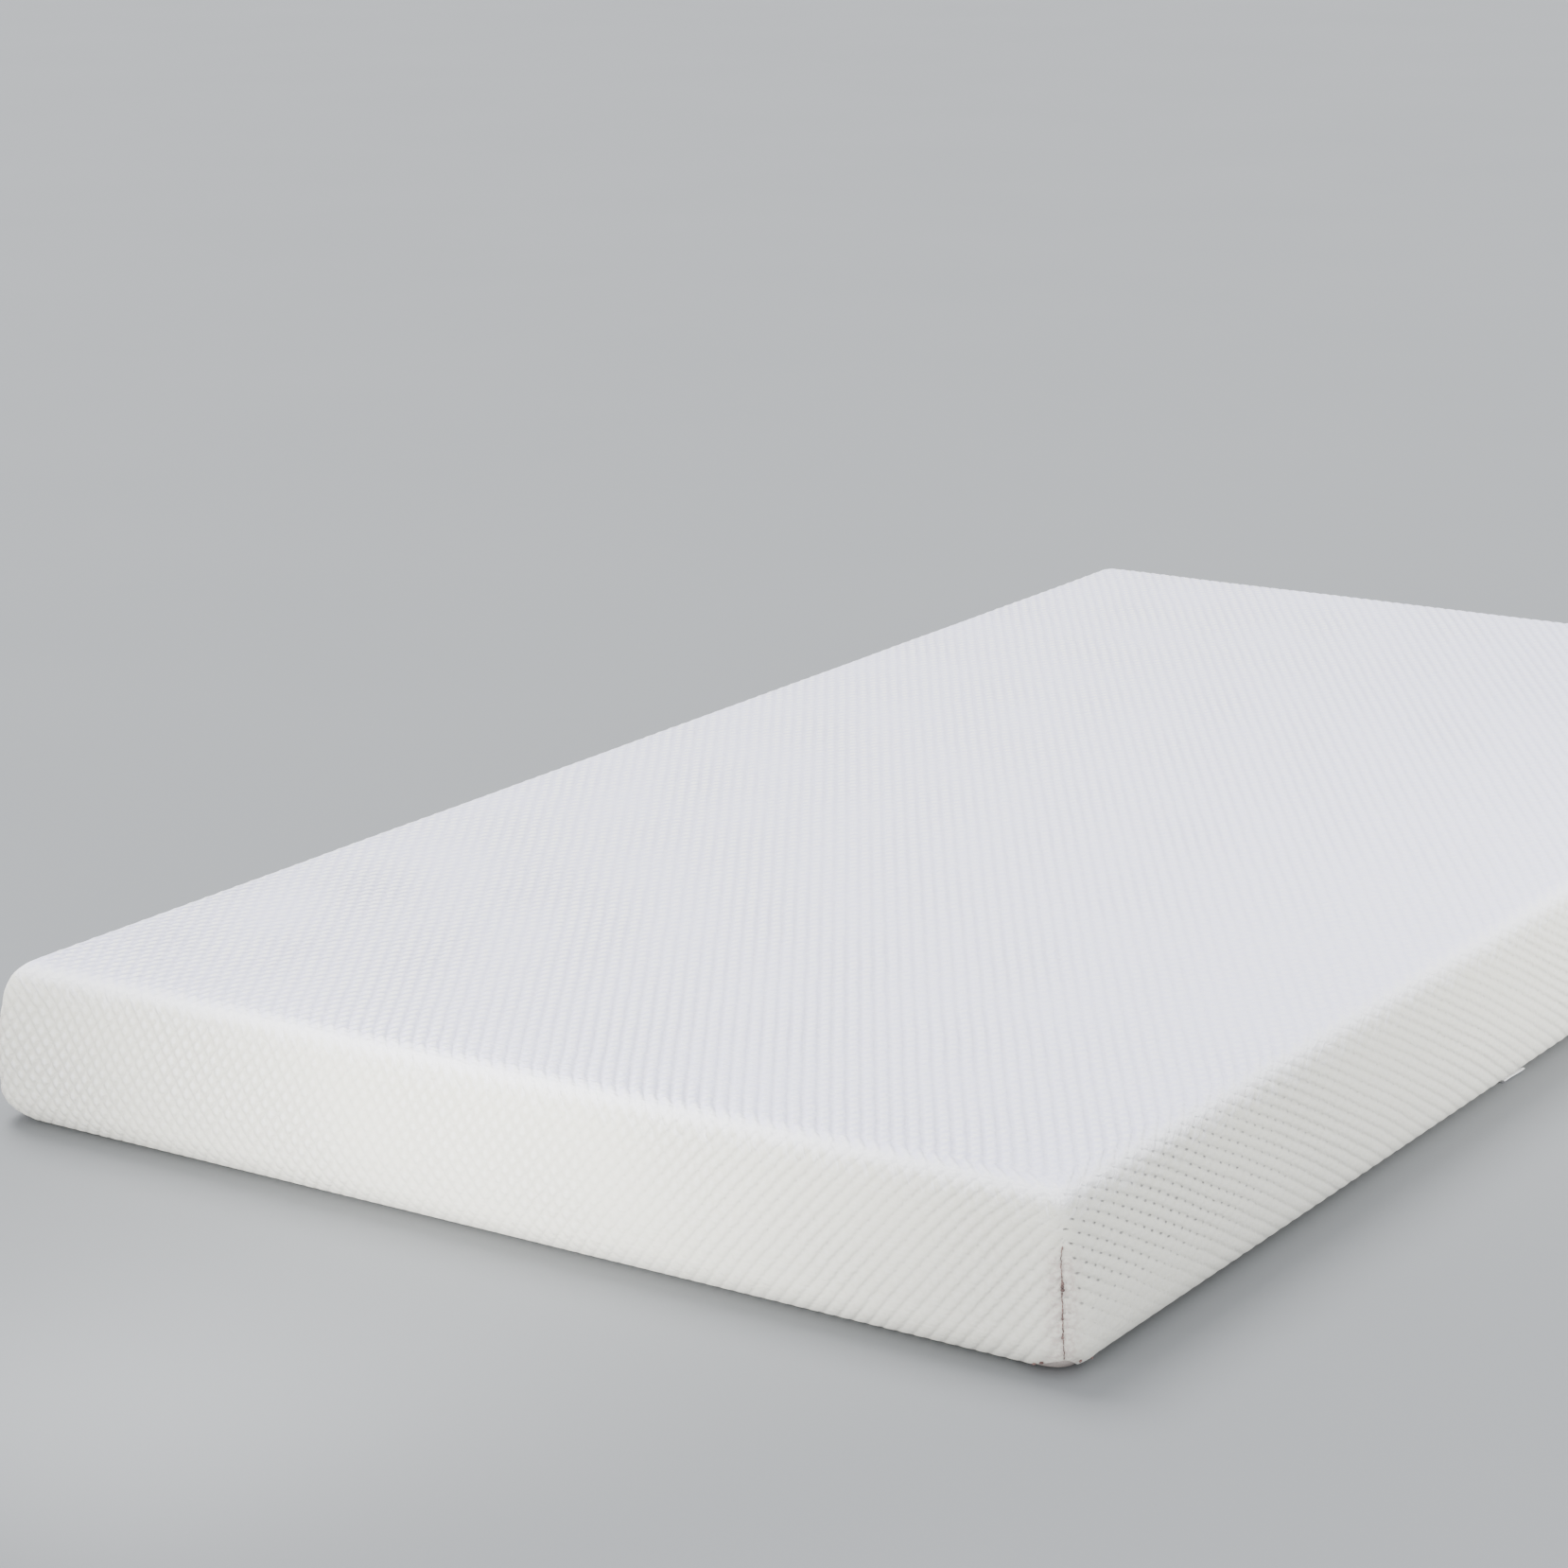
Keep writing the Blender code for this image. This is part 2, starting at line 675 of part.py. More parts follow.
def main():
    clear_scene()
    home = new_collection("memory_foam_mattress")
    tools = new_collection("cutters")

    hinge_inset, hinge_height = seam_place()
    body_hinge = add_pivot("mattress_body_hinge", (-WIDTH / 2 + hinge_inset, 0.0, hinge_height), home)
    body = add_core(home, tools) + [add_cover(home)] + add_corner_seams(home) + add_border(home)
    body += add_zip_side("cover", 1, home) + [add_label(home)]
    for piece in body:
        attach(piece, body_hinge)

    add_panel(home)
    add_wadding(home)
    add_zip_side("base", -1, home)
    add_end_stops(home)
    slider_pivot = add_pivot("zip_slider_track", slider_centre(), home)
    slider = add_slider(home, tools)
    pull = add_pull(home)
    for piece in (slider, pull):
        attach(piece, slider_pivot)


main()
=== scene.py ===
"""The looks of a memory foam mattress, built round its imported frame. Metres, +Z up."""

import math

import bpy
import numpy as np
from mathutils import Matrix, Vector


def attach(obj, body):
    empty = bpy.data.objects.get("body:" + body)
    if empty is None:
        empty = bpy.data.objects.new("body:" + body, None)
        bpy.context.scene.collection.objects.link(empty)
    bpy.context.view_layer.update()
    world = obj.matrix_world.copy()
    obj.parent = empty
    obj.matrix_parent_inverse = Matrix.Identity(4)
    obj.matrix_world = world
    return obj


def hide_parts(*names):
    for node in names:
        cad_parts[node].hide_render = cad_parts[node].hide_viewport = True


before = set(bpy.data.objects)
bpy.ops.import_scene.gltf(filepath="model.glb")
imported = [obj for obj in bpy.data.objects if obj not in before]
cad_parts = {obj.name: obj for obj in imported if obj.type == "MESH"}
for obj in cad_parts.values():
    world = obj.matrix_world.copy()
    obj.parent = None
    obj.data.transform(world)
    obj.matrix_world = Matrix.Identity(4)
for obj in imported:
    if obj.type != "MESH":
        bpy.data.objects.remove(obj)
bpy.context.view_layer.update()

BODY = "mattress_body"
BASE = "base"

# Overall size
WIDTH = 1.07
LENGTH = 1.90
HEIGHT = 0.14

# Section of the cover. An inset is measured inwards from the fullest line of the side.
TOP_EDGE_RADIUS = 0.022
BOTTOM_EDGE_RADIUS = 0.031
LEAN_START = 0.040
LEAN_ANGLE = math.radians(17.5)
LEAN_POWER = 1.5
TOP_PLAN_RADIUS = 0.008
PLAN_RADIUS = 0.033
PLAN_RADIUS_HEIGHT = 0.050
RIGHT_SEAM_TURN = math.radians(52.7)
LEFT_SEAM_TURN = math.radians(38.0)
CORNER_SEAM_TOP = 0.100
CORNER_SEAM_BOTTOM = 0.0085

# Corner seams: radius of the thread, knots as share of the way down, extra radius and spread, and the
# shares of the way down at which a thread gathers the cloth
STITCH_PITCH = 0.0024
SEAM_THREAD = 0.00042
KNOTS = ((0.0, 0.0003, 0.015), (0.33, 0.0011, 0.045), (0.51, 0.0005, 0.015), (0.60, 0.00045, 0.02),
         (0.76, 0.00045, 0.03))
GATHERS = (0.27, 0.31, 0.71, 0.78, 0.86)

# Cloth at the corners: how full, how slack and how deep in the seam, and the pitch of the puckers
CORNER_FULLNESS = 0.0045
CORNER_SLACK = 0.0050
SEAM_DEPTH = 0.0016
PUCKER_PITCH = 0.0058
BORDER_PUSH = 0.0066
BORDER_FOOT = 0.0100

# Where the cover's lower edge lies on the round bottom edge: 90 degrees is the floor
EDGE_TURN = math.radians(76.0)
LEFT_EDGE_TURN = math.radians(42.0)
FRONT_CORNER_TURN = math.radians(30.0)

# The knit's diamond lattice, in cycles per metre of the cloth laid flat
RIB_ACROSS = 75.4
RIB_ALONG = 49.4
STRETCH_SHORT = 1.25
STRETCH_LONG = 1.17
RELIEF = 0.0009
FLARE_FADE = 0.08

# Grids of the cover and of its coarse copy: the step, and the finer step over a stretch at both ends
POINTS_PER_RIB = 6
FINE_STEP, FINE_REACH = 0.0018, 0.024
COVER_ROWS = 64
COARSE_STEP, COARSE_FINE_STEP, COARSE_REACH = 0.026, 0.010, 0.02
COARSE_ROWS = 8
PUFF_LIMIT = 0.0022
TOP_HOLD, SIDE_HOLD = 0.27, 0.17
COVER_CLEARANCE = 0.0004

# Colours of the knit, one white cloth with painted light: a cool lit top, warm lit sides, painted shade in
# the grooves and painted highlight on the crests
TOP_TONE_PAINTED_COOL_LIGHT = (0.765, 0.765, 0.96)
SIDE_TONE_PAINTED_WARM_LIGHT = (0.79, 0.78, 0.69)
PAINTED_HIGHLIGHT_TONE = (0.95, 0.95, 0.98)
GROOVE_PAINTED_SHADE = (0.30, 0.295, 0.29)
PUCKER_TONE = (0.50, 0.41, 0.39)

# Base, border and zip, as the frame has them
FRAME_BOTTOM_RADIUS = 0.035
CLOTH_THICKNESS = 0.0012
BORDER_START = math.radians(47.0)
RISE_START_BORDER = 0.036
RISE_END_BORDER = 0.042
BORDER_EDGE = 0.0495
PANEL_EDGE = 0.0605
RISE_START_PANEL = 0.076
RISE_HEIGHT = 0.0026
RISE_CREST, RISE_FOOT = 0.0075, 0.0155
HOOK = 0.0757
HOOK_RADIUS_SHRINK = 2.07
ZIP_INSET = 0.055
ZIP_RADIUS = 0.030
TAPE_PLANE = 0.0046
TAPE_WIDTH = 0.012
NEAR_COIL_START = 0.080
FAR_COIL_END = 0.060
TAPE_END = 0.051
STITCH_BORDER = 0.0455
STITCH_PANEL = 0.0645
HALF_GAP = 0.0005
COIL_WIDTH = 0.0022
TAPE_OFFSET = 0.0025
TOOTH_PITCH = 0.0026
TOOTH_HEAD = 0.00095
TOOTH_HEEL = 0.0010
HINGE_LINE = (0.010036, 0.010468)
HINGE_HALF_LENGTH = 0.8735
LABEL_MIDDLE = -0.171
LABEL_HALF_WIDTH = 0.020

# The core, inside the cover
LINER_INSET = 0.0036
CORE_INSET = 0.0044
MEMORY_THICKNESS = 0.040
CORE_BOTTOM = 0.0105
LINER_BOTTOM = 0.0075
LINER_SEAM_HEIGHT = 0.070
LINER_SEAM_HALF_LENGTH = 0.378
WADDING_TOP = 0.0071
WADDING_EDGE = 0.080

# Camera, as fitted to the mattress's edges in the photograph
CAMERA_PLACE = (1.866, -3.249, 1.161)
CAMERA_AZIMUTH = math.radians(34.36)
CAMERA_ELEVATION = math.radians(15.06)
CAMERA_ROLL = math.radians(0.94)
FOCAL_LENGTH = 92.6
SENSOR_WIDTH = 36.0

random = np.random.default_rng(7)


# Meshes

def add_object(name, data):
    made = bpy.data.objects.new(name, data)
    bpy.context.scene.collection.objects.link(made)
    return made


def add_quads(name, points, quads):
    """A mesh of quads from arrays, which is quick for a dense cloth."""
    mesh = bpy.data.meshes.new(name)
    mesh.vertices.add(len(points))
    mesh.vertices.foreach_set("co", np.asarray(points, dtype=np.float32).ravel())
    mesh.loops.add(4 * len(quads))
    mesh.loops.foreach_set("vertex_index", np.asarray(quads, dtype=np.int32).ravel())
    mesh.polygons.add(len(quads))
    mesh.polygons.foreach_set("loop_start", np.arange(0, 4 * len(quads), 4, dtype=np.int32))
    mesh.update(calc_edges=True)
    mesh.shade_smooth()
    return add_object(name, mesh)


def dress(piece, look, body, slot, *nodes):
    """Give a piece its look and body, and have it stand for the frame's nodes."""
    piece.data.materials.append(look)
    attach(piece, body)
    if nodes:
        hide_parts(*nodes)
    return piece


def smoothstep(low, high, value):
    t = np.clip((value - low) / (high - low), 0.0, 1.0)
    return t * t * (3.0 - 2.0 * t)


def bell(value, width):
    return np.exp(-(value / width) ** 2)


def ripple(x, y, wavelength, seed, waves=7):
    """A smooth random field between about -1 and 1."""
    source = np.random.default_rng(seed)
    total = np.zeros(np.shape(x))
    for _ in range(waves):
        heading = source.uniform(0.0, 2.0 * math.pi)
        pitch = wavelength * source.uniform(0.6, 1.7)
        phase = source.uniform(0.0, 2.0 * math.pi)
        total = total + np.sin(2 * math.pi * (x * math.cos(heading) + y * math.sin(heading)) / pitch + phase)
    return total / math.sqrt(waves)


def unit(vectors):
    return vectors / np.maximum(np.linalg.norm(vectors, axis=-1, keepdims=True), 1e-12)


def vertex_normals(mesh):
    normals = np.empty(3 * len(mesh.vertices), dtype=np.float32)
    mesh.vertex_normals.foreach_get("vector", normals)
    return normals.reshape(-1, 3).astype(float)


def set_uv(mesh, name, values):
    layer = mesh.uv_layers.new(name=name)
    layer.data.foreach_set("uv", np.asarray(values, dtype=np.float32).ravel())


def quads_between(index):
    """The quads of a grid of point numbers."""
    return np.stack([index[:-1, :-1], index[1:, :-1], index[1:, 1:], index[:-1, 1:]], axis=-1).reshape(-1, 4)


def grid_quads(nx, ny):
    return quads_between(np.arange(nx * ny).reshape(nx, ny))


def grid_rim(nx, ny):
    """The point numbers round a grid, once each, from its first corner."""
    index = np.arange(nx * ny).reshape(nx, ny)
    return np.concatenate([index[:-1, 0], index[-1, :-1], index[:0:-1, -1], index[0, :0:-1]])


def thicken(points, quads, thickness):
    """Close a single layer into a cloth, with its second layer inwards and a rim round its open edges."""
    shell = bpy.data.meshes.new("layer")
    shell.from_pydata(points.tolist(), [], quads.tolist())
    normals = vertex_normals(shell)
    bpy.data.meshes.remove(shell)
    count = len(points)
    edges = np.concatenate([quads[:, [k, (k + 1) % 4]] for k in range(4)])
    key = np.sort(edges, axis=1)
    code = key[:, 0] * count + key[:, 1]
    _, inverse, uses = np.unique(code, return_inverse=True, return_counts=True)
    rim = edges[uses[inverse] == 1]
    sides = np.stack([rim[:, 1], rim[:, 0], rim[:, 0] + count, rim[:, 1] + count], axis=1)
    both = np.concatenate([points, points - normals * thickness])
    return both, np.concatenate([quads, quads[:, ::-1] + count, sides])


def resample(path, places, values=None):
    """Points of a polyline, or values given at its points, at distances along it."""
    values = path if values is None else values
    far = np.concatenate([[0.0], np.cumsum(np.linalg.norm(np.diff(path, axis=0), axis=1))])
    return np.stack([np.interp(places, far, values[:, k]) for k in range(3)], axis=-1)


def path_length(path):
    return float(np.linalg.norm(np.diff(path, axis=0), axis=1).sum())


def capsules(name, starts, ends, radius, arch=None, sides=6, rings=5):
    """Many short round-ended threads in one mesh. arch is how far and which way each one bows."""
    starts, ends = np.asarray(starts), np.asarray(ends)
    count = len(starts)
    radius = np.broadcast_to(np.asarray(radius, dtype=float), (count,))
    way = unit(ends - starts)
    helper = np.where(np.abs(way[:, 2:3]) < 0.9, [[0.0, 0.0, 1.0]], [[1.0, 0.0, 0.0]])
    across = unit(np.cross(way, helper))
    upward = np.cross(across, way)
    share = np.linspace(0.0, 1.0, rings)
    swell = np.sqrt(np.clip(1.0 - (2.0 * share - 1.0) ** 4, 0.02, 1.0))
    turn = np.linspace(0.0, 2.0 * math.pi, sides, endpoint=False)
    centre = starts[:, None] + (ends - starts)[:, None] * share[None, :, None]
    if arch is not None:
        centre = centre + np.asarray(arch)[:, None] * np.sin(math.pi * share)[None, :, None]
    spoke = across[:, None] * np.cos(turn)[None, :, None] + upward[:, None] * np.sin(turn)[None, :, None]
    points = centre[:, :, None] + spoke[:, None] * (radius[:, None] * swell[None])[:, :, None, None]
    index = np.arange(count * rings * sides).reshape(count, rings, sides)
    beside = np.roll(index, -1, axis=2)
    quads = np.stack([index[:, :-1], beside[:, :-1], beside[:, 1:], index[:, 1:]], axis=-1).reshape(-1, 4)
    return add_quads(name, points.reshape(-1, 3), quads)


def running_stitches(name, path, outward, radius, length, gap, sink=0.0, vary=0.2):
    """A line of lockstitches along a path, each one bowed outwards and sunk into the cloth at its ends."""
    total = path_length(path)
    count = max(int(total / (length + gap)), 2)
    starts = (np.arange(count) + 0.5) * total / count - length / 2
    starts = starts + random.uniform(-vary, vary, count) * gap
    lengths = length * (1.0 + random.uniform(-vary, vary, count))
    away = unit(resample(path, starts, np.broadcast_to(outward, np.shape(path))))
    first = resample(path, starts) - away * sink
    second = resample(path, starts + lengths) - away * sink
    radii = radius * (1.0 + random.uniform(-vary, vary, count))
    return capsules(name, first, second, radii, away * (sink + radius * 0.6))


def overlock(name, path, outward, radius, pitch, reach):
    """An overlocked edge: slanted loops side by side over the edge of two cloths."""
    total = path_length(path)
    count = int(total / pitch)
    places = (np.arange(count) + 0.5) * total / count
    middle = resample(path, places)
    way = unit(resample(path, places + 0.0005) - middle + 1e-9)
    away = unit(resample(path, places, outward))
    across = unit(np.cross(way, away))
    slant = way * pitch * 0.6
    starts = middle - across * reach - slant
    ends = middle + across * reach + slant
    return capsules(name, starts, ends, radius, away * reach * 0.9)


# Node materials

class Nodes:
    """A short way to write a node tree."""

    def __init__(self, name):
        self.material = bpy.data.materials.new(name)
        self.material.use_nodes = True
        self.tree = self.material.node_tree
        self.shader = self.tree.nodes["Principled BSDF"]

    def add(self, kind, **settings):
        node = self.tree.nodes.new(kind)
        for key, value in settings.items():
            setattr(node, key, value)
        return node

    def put(self, socket, value):
        if hasattr(value, "links"):
            self.tree.links.new(value, socket)
        else:
            socket.default_value = value

    def math(self, operation, *values):
        node = self.add("ShaderNodeMath", operation=operation)
        for socket, value in zip(node.inputs, values):
            self.put(socket, value)
        return node.outputs[0]

    def times(self, first, second):
        return self.math("MULTIPLY", first, second)

    def scale(self, value, factor, offset):
        """value * factor + offset"""
        return self.math("MULTIPLY_ADD", value, factor, offset)

    def sum(self, *terms):
        """The sum of (value, factor) pairs."""
        total = 0.0
        for value, factor in terms:
            total = self.scale(value, factor, total)
        return total

    def split(self, vector):
        node = self.add("ShaderNodeSeparateXYZ")
        self.put(node.inputs[0], vector)
        return node.outputs[0], node.outputs[1], node.outputs[2]

    def uv(self, name):
        return self.add("ShaderNodeUVMap", uv_map=name).outputs[0]

    def place(self):
        return self.add("ShaderNodeTexCoord").outputs["Object"]

    def noise(self, vector, scale, detail=3.0, roughness=0.5):
        node = self.add("ShaderNodeTexNoise")
        self.put(node.inputs["Vector"], vector)
        node.inputs["Scale"].default_value = scale
        node.inputs["Detail"].default_value = detail
        node.inputs["Roughness"].default_value = roughness
        return node.outputs[0]

    def cells(self, vector, scale):
        node = self.add("ShaderNodeTexVoronoi")
        self.put(node.inputs["Vector"], vector)
        node.inputs["Scale"].default_value = scale
        return node.outputs["Distance"]

    def ramp(self, value, low, high):
        node = self.add("ShaderNodeMapRange", interpolation_type="SMOOTHSTEP")
        self.put(node.inputs[0], value)
        node.inputs[1].default_value = low
        node.inputs[2].default_value = high
        return node.outputs[0]

    def mix(self, share, first, second):
        node = self.add("ShaderNodeMix", data_type="RGBA")
        self.put(node.inputs[0], share)
        self.put(node.inputs[6], first if hasattr(first, "links") else (*first, 1.0))
        self.put(node.inputs[7], second if hasattr(second, "links") else (*second, 1.0))
        return node.outputs[2]

    def ridge(self, phase):
        """0 in a groove, 1 on the crest between two grooves, for a phase in cycles."""
        return self.math("ABSOLUTE", self.math("SINE", self.times(phase, math.pi)))

    def groove(self, phase, width):
        """1 in a groove, falling to 0 at a share of the way to the crest."""
        return self.math("SUBTRACT", 1.0, self.ramp(self.ridge(phase), 0.0, width))

    def bump(self, height, distance, strength=1.0):
        node = self.add("ShaderNodeBump")
        node.inputs["Strength"].default_value = strength
        node.inputs["Distance"].default_value = distance
        self.put(node.inputs["Height"], height)
        self.put(self.shader.inputs["Normal"], node.outputs[0])

    def finish(self, colour, roughness, sheen=0.0, specular=0.3, metallic=0.0):
        """Link the colour and roughness, and set what is the same all over the surface."""
        self.put(self.shader.inputs["Base Color"], colour)
        self.put(self.shader.inputs["Roughness"], roughness)
        self.shader.inputs["Specular IOR Level"].default_value = specular
        self.shader.inputs["Metallic"].default_value = metallic
        self.shader.inputs["Sheen Weight"].default_value = sheen
        self.shader.inputs["Sheen Roughness"].default_value = 0.5
        return self.material


def knit_look():
    """Double knit: soft diagonal ribs both ways, dimples where their grooves cross, and a brushed nap. Its
    colour holds painted light: a cool top and warm sides, painted shade in the grooves and dimples, and
    painted highlight on the crowns, courses, strokes and the rounded top edge.
    """
    nodes = Nodes("diamond knit")
    vector = nodes.uv("cloth")
    across, along, _ = nodes.split(vector)
    weight_a, weight_b, _ = nodes.split(nodes.uv("weights"))
    pucker, dimples, _ = nodes.split(nodes.uv("marks"))
    topness, rim, _ = nodes.split(nodes.uv("tones"))
    stroke, _, _ = nodes.split(nodes.uv("strokes"))
    u_part = nodes.times(across, RIB_ACROSS)
    v_part = nodes.times(along, RIB_ALONG)
    drift = nodes.scale(nodes.noise(vector, 14.0, detail=1.0), 0.30, -0.15)
    jitter = nodes.scale(nodes.noise(vector, 150.0, detail=1.0), 0.24, -0.12)
    phase_a = nodes.sum((u_part, 1.0), (v_part, 1.0), (drift, 1.0), (jitter, 1.0))
    phase_b = nodes.sum((u_part, 1.0), (v_part, -1.0), (drift, 1.0), (jitter, -1.0))
    wide_a = nodes.times(nodes.groove(phase_a, 1.0), weight_a)
    wide_b = nodes.times(nodes.groove(phase_b, 1.0), weight_b)
    deep_a = nodes.times(nodes.groove(phase_a, 0.50), weight_a)
    deep_b = nodes.times(nodes.groove(phase_b, 0.50), weight_b)
    broken = nodes.ramp(nodes.noise(vector, 230.0, detail=2.0), 0.36, 0.60)
    wide = nodes.math("MAXIMUM", wide_a, wide_b)
    deep = nodes.times(nodes.math("MAXIMUM", deep_a, deep_b), broken)
    crossing = nodes.times(nodes.groove(phase_a, 0.62), nodes.groove(phase_b, 0.36))
    uneven = nodes.ramp(nodes.noise(vector, 95.0, detail=1.0), 0.22, 0.52)
    dots = nodes.times(crossing, nodes.times(dimples, uneven))
    # crown: the crests of the diamonds, lightened below as painted highlight
    crown = nodes.ramp(nodes.times(nodes.ridge(phase_a), nodes.ridge(phase_b)), 0.45, 0.95)
    crown = nodes.times(crown, nodes.times(weight_a, weight_b))
    crown = nodes.times(crown, nodes.scale(topness, 0.50, 0.22))
    flow = nodes.add("ShaderNodeCombineXYZ")
    for socket, phase, pitch in zip(flow.inputs, (phase_a, phase_b), (2.6, 0.7)):
        nodes.put(socket, nodes.times(phase, pitch))
    strokes = nodes.times(nodes.ramp(nodes.noise(flow.outputs[0], 1.0, detail=2.0), 0.46, 0.66), stroke)
    courses = nodes.ridge(nodes.times(along, 4.0 * RIB_ALONG))
    courses = nodes.times(courses, nodes.ramp(nodes.noise(vector, 120.0, detail=1.0), 0.40, 0.60))
    courses = nodes.times(courses, nodes.scale(topness, 0.7, 0.3))
    fibres = nodes.noise(vector, 1100.0, detail=2.0)
    fuzz = nodes.noise(vector, 330.0, detail=3.0)
    nap = nodes.times(nodes.noise(vector, 190.0, detail=2.0), rim)
    nodes.bump(nodes.sum(
        (wide, -0.80), (deep, -0.12), (dots, -1.50), (courses, 0.36), (strokes, 0.50),
        (fibres, 0.20), (fuzz, 0.45), (nap, 1.2)
    ), 0.0010)
    # Painted light: the top gets a cool tint and the sides a warm tint, though the cloth is one white knit
    cloth = nodes.mix(topness, SIDE_TONE_PAINTED_WARM_LIGHT, TOP_TONE_PAINTED_COOL_LIGHT)
    # Painted shade: the grooves, and the dimples where they cross, are darkened towards grey
    cloth = nodes.mix(nodes.sum((wide, 0.10), (deep, 0.05), (dots, 1.0)), cloth, GROOVE_PAINTED_SHADE)
    # Painted highlight: the crowns, the courses and the strokes are lightened
    cloth = nodes.mix(nodes.sum((crown, 1.0), (courses, 0.36), (strokes, 0.60)), cloth, PAINTED_HIGHLIGHT_TONE)
    cloth = nodes.mix(nodes.times(nodes.noise(vector, 5.0, detail=2.0), 0.05), cloth, (0.66, 0.66, 0.67))
    blotch = nodes.ramp(nodes.noise(vector, 210.0, detail=2.0), 0.42, 0.62)
    tinge = nodes.times(pucker, nodes.scale(blotch, 0.50, 0.18))
    cloth = nodes.mix(tinge, cloth, PUCKER_TONE)
    # Painted highlight along the rounded top edge, over the rim band
    cloth = nodes.mix(nodes.times(rim, 0.90), cloth, PAINTED_HIGHLIGHT_TONE)
    roughness = nodes.scale(fuzz, 0.15, 0.80)
    return nodes.finish(cloth, roughness, sheen=0.30, specular=0.2)


def weave_look(name, light, dark, pitch, roughness=0.85, sheen=0.1, depth=0.00025):
    """Plain weave: warp and weft threads that pass over one another in turn."""
    nodes = Nodes(name)
    place = nodes.place()
    x, y, z = nodes.split(place)
    warp = nodes.math("DIVIDE", nodes.sum((x, 1.0), (z, 0.7)), pitch)
    weft = nodes.math("DIVIDE", nodes.sum((y, 1.0), (z, 0.7)), pitch)
    over = nodes.times(nodes.math("SINE", nodes.times(warp, math.pi)),
                      nodes.math("SINE", nodes.times(weft, math.pi)))
    threads = nodes.times(nodes.ridge(warp), nodes.ridge(weft))
    slub = nodes.noise(place, 45.0, detail=3.0)
    fibre = nodes.noise(place, 900.0, detail=2.0)
    nodes.bump(nodes.sum((threads, 0.6), (over, 0.25), (fibre, 0.2)), depth)
    tone = nodes.sum((threads, 0.45), (slub, 0.50), (fibre, 0.12))
    return nodes.finish(
        nodes.mix(tone, dark, light), nodes.scale(slub, 0.12, roughness - 0.06), sheen, 0.25
    )


def stockinette_look():
    """Fine vertical wales of a thin single knit."""
    nodes = Nodes("stockinette")
    place = nodes.place()
    x, y, _ = nodes.split(place)
    wales = nodes.ridge(nodes.times(x, 420.0))
    courses = nodes.ridge(nodes.scale(y, 520.0, nodes.times(wales, 0.6)))
    slack = nodes.noise(place, 16.0, detail=3.0)
    nodes.bump(nodes.sum((wales, 0.5), (courses, 0.25), (slack, 0.9)), 0.0006)
    tone = nodes.sum((wales, 0.35), (courses, 0.15), (slack, 0.4))
    colour = nodes.mix(tone, (0.60, 0.59, 0.56), (0.83, 0.82, 0.79))
    return nodes.finish(colour, nodes.scale(slack, 0.1, 0.82), 0.2)


def foam_look(name, light, dark, pores):
    """Open-cell foam with pores of mixed size and a few larger voids."""
    nodes = Nodes(name)
    place = nodes.place()
    fine = nodes.cells(place, pores)
    coarse = nodes.cells(place, pores * 0.3)
    mottle = nodes.noise(place, 9.0, detail=3.0)
    nodes.bump(nodes.sum((nodes.ramp(fine, 0.05, 0.6), 0.6), (nodes.ramp(coarse, 0.0, 0.35), 0.5)), 0.0008)
    tone = nodes.sum((nodes.ramp(fine, 0.1, 0.6), 0.5), (mottle, 0.5))
    return nodes.finish(nodes.mix(tone, dark, light), nodes.scale(fine, 0.2, 0.75), 0.05, 0.2)


def fibre_look():
    """Bonded polyester wadding: a mat of long fine fibres."""
    nodes = Nodes("fibre wadding")
    place = nodes.place()
    long_way = nodes.add("ShaderNodeMapping")
    long_way.inputs["Scale"].default_value = (1.0, 5.0, 3.0)
    long_way.inputs["Rotation"].default_value = (0.0, 0.0, 0.6)
    nodes.put(long_way.inputs["Vector"], place)
    strands = nodes.noise(long_way.outputs[0], 160.0, detail=5.0, roughness=0.7)
    cloud = nodes.noise(place, 28.0, detail=3.0)
    nodes.bump(nodes.sum((strands, 0.8), (cloud, 0.6)), 0.0012)
    tone = nodes.sum((strands, 0.5), (cloud, 0.45))
    colour = nodes.mix(tone, (0.62, 0.62, 0.61), (0.90, 0.90, 0.89))
    return nodes.finish(colour, nodes.scale(strands, 0.1, 0.85), 0.3)


def thread_look(name, light, dark, twist=900.0, patch=60.0):
    """Spun thread with a slanting twist and uneven dye."""
    nodes = Nodes(name)
    place = nodes.place()
    x, y, z = nodes.split(place)
    ply = nodes.ridge(nodes.sum((x, twist), (y, twist * 0.8), (z, twist * 1.3)))
    dye = nodes.ramp(nodes.noise(place, patch, detail=3.0), 0.35, 0.65)
    hair = nodes.noise(place, 2200.0, detail=2.0)
    nodes.bump(nodes.sum((ply, 0.7), (hair, 0.4)), 0.0002)
    tone = nodes.sum((dye, 0.65), (ply, 0.25), (hair, 0.10))
    return nodes.finish(nodes.mix(tone, dark, light), nodes.scale(hair, 0.2, 0.70), 0.15)


def nylon_look():
    nodes = Nodes("zip nylon")
    place = nodes.place()
    fine = nodes.noise(place, 700.0, detail=2.0)
    broad = nodes.noise(place, 22.0, detail=2.0)
    nodes.bump(fine, 0.0001)
    colour = nodes.mix(nodes.sum((fine, 0.4), (broad, 0.5)), (0.66, 0.66, 0.63), (0.82, 0.82, 0.80))
    return nodes.finish(colour, nodes.scale(fine, 0.25, 0.28), 0.0, 0.5)


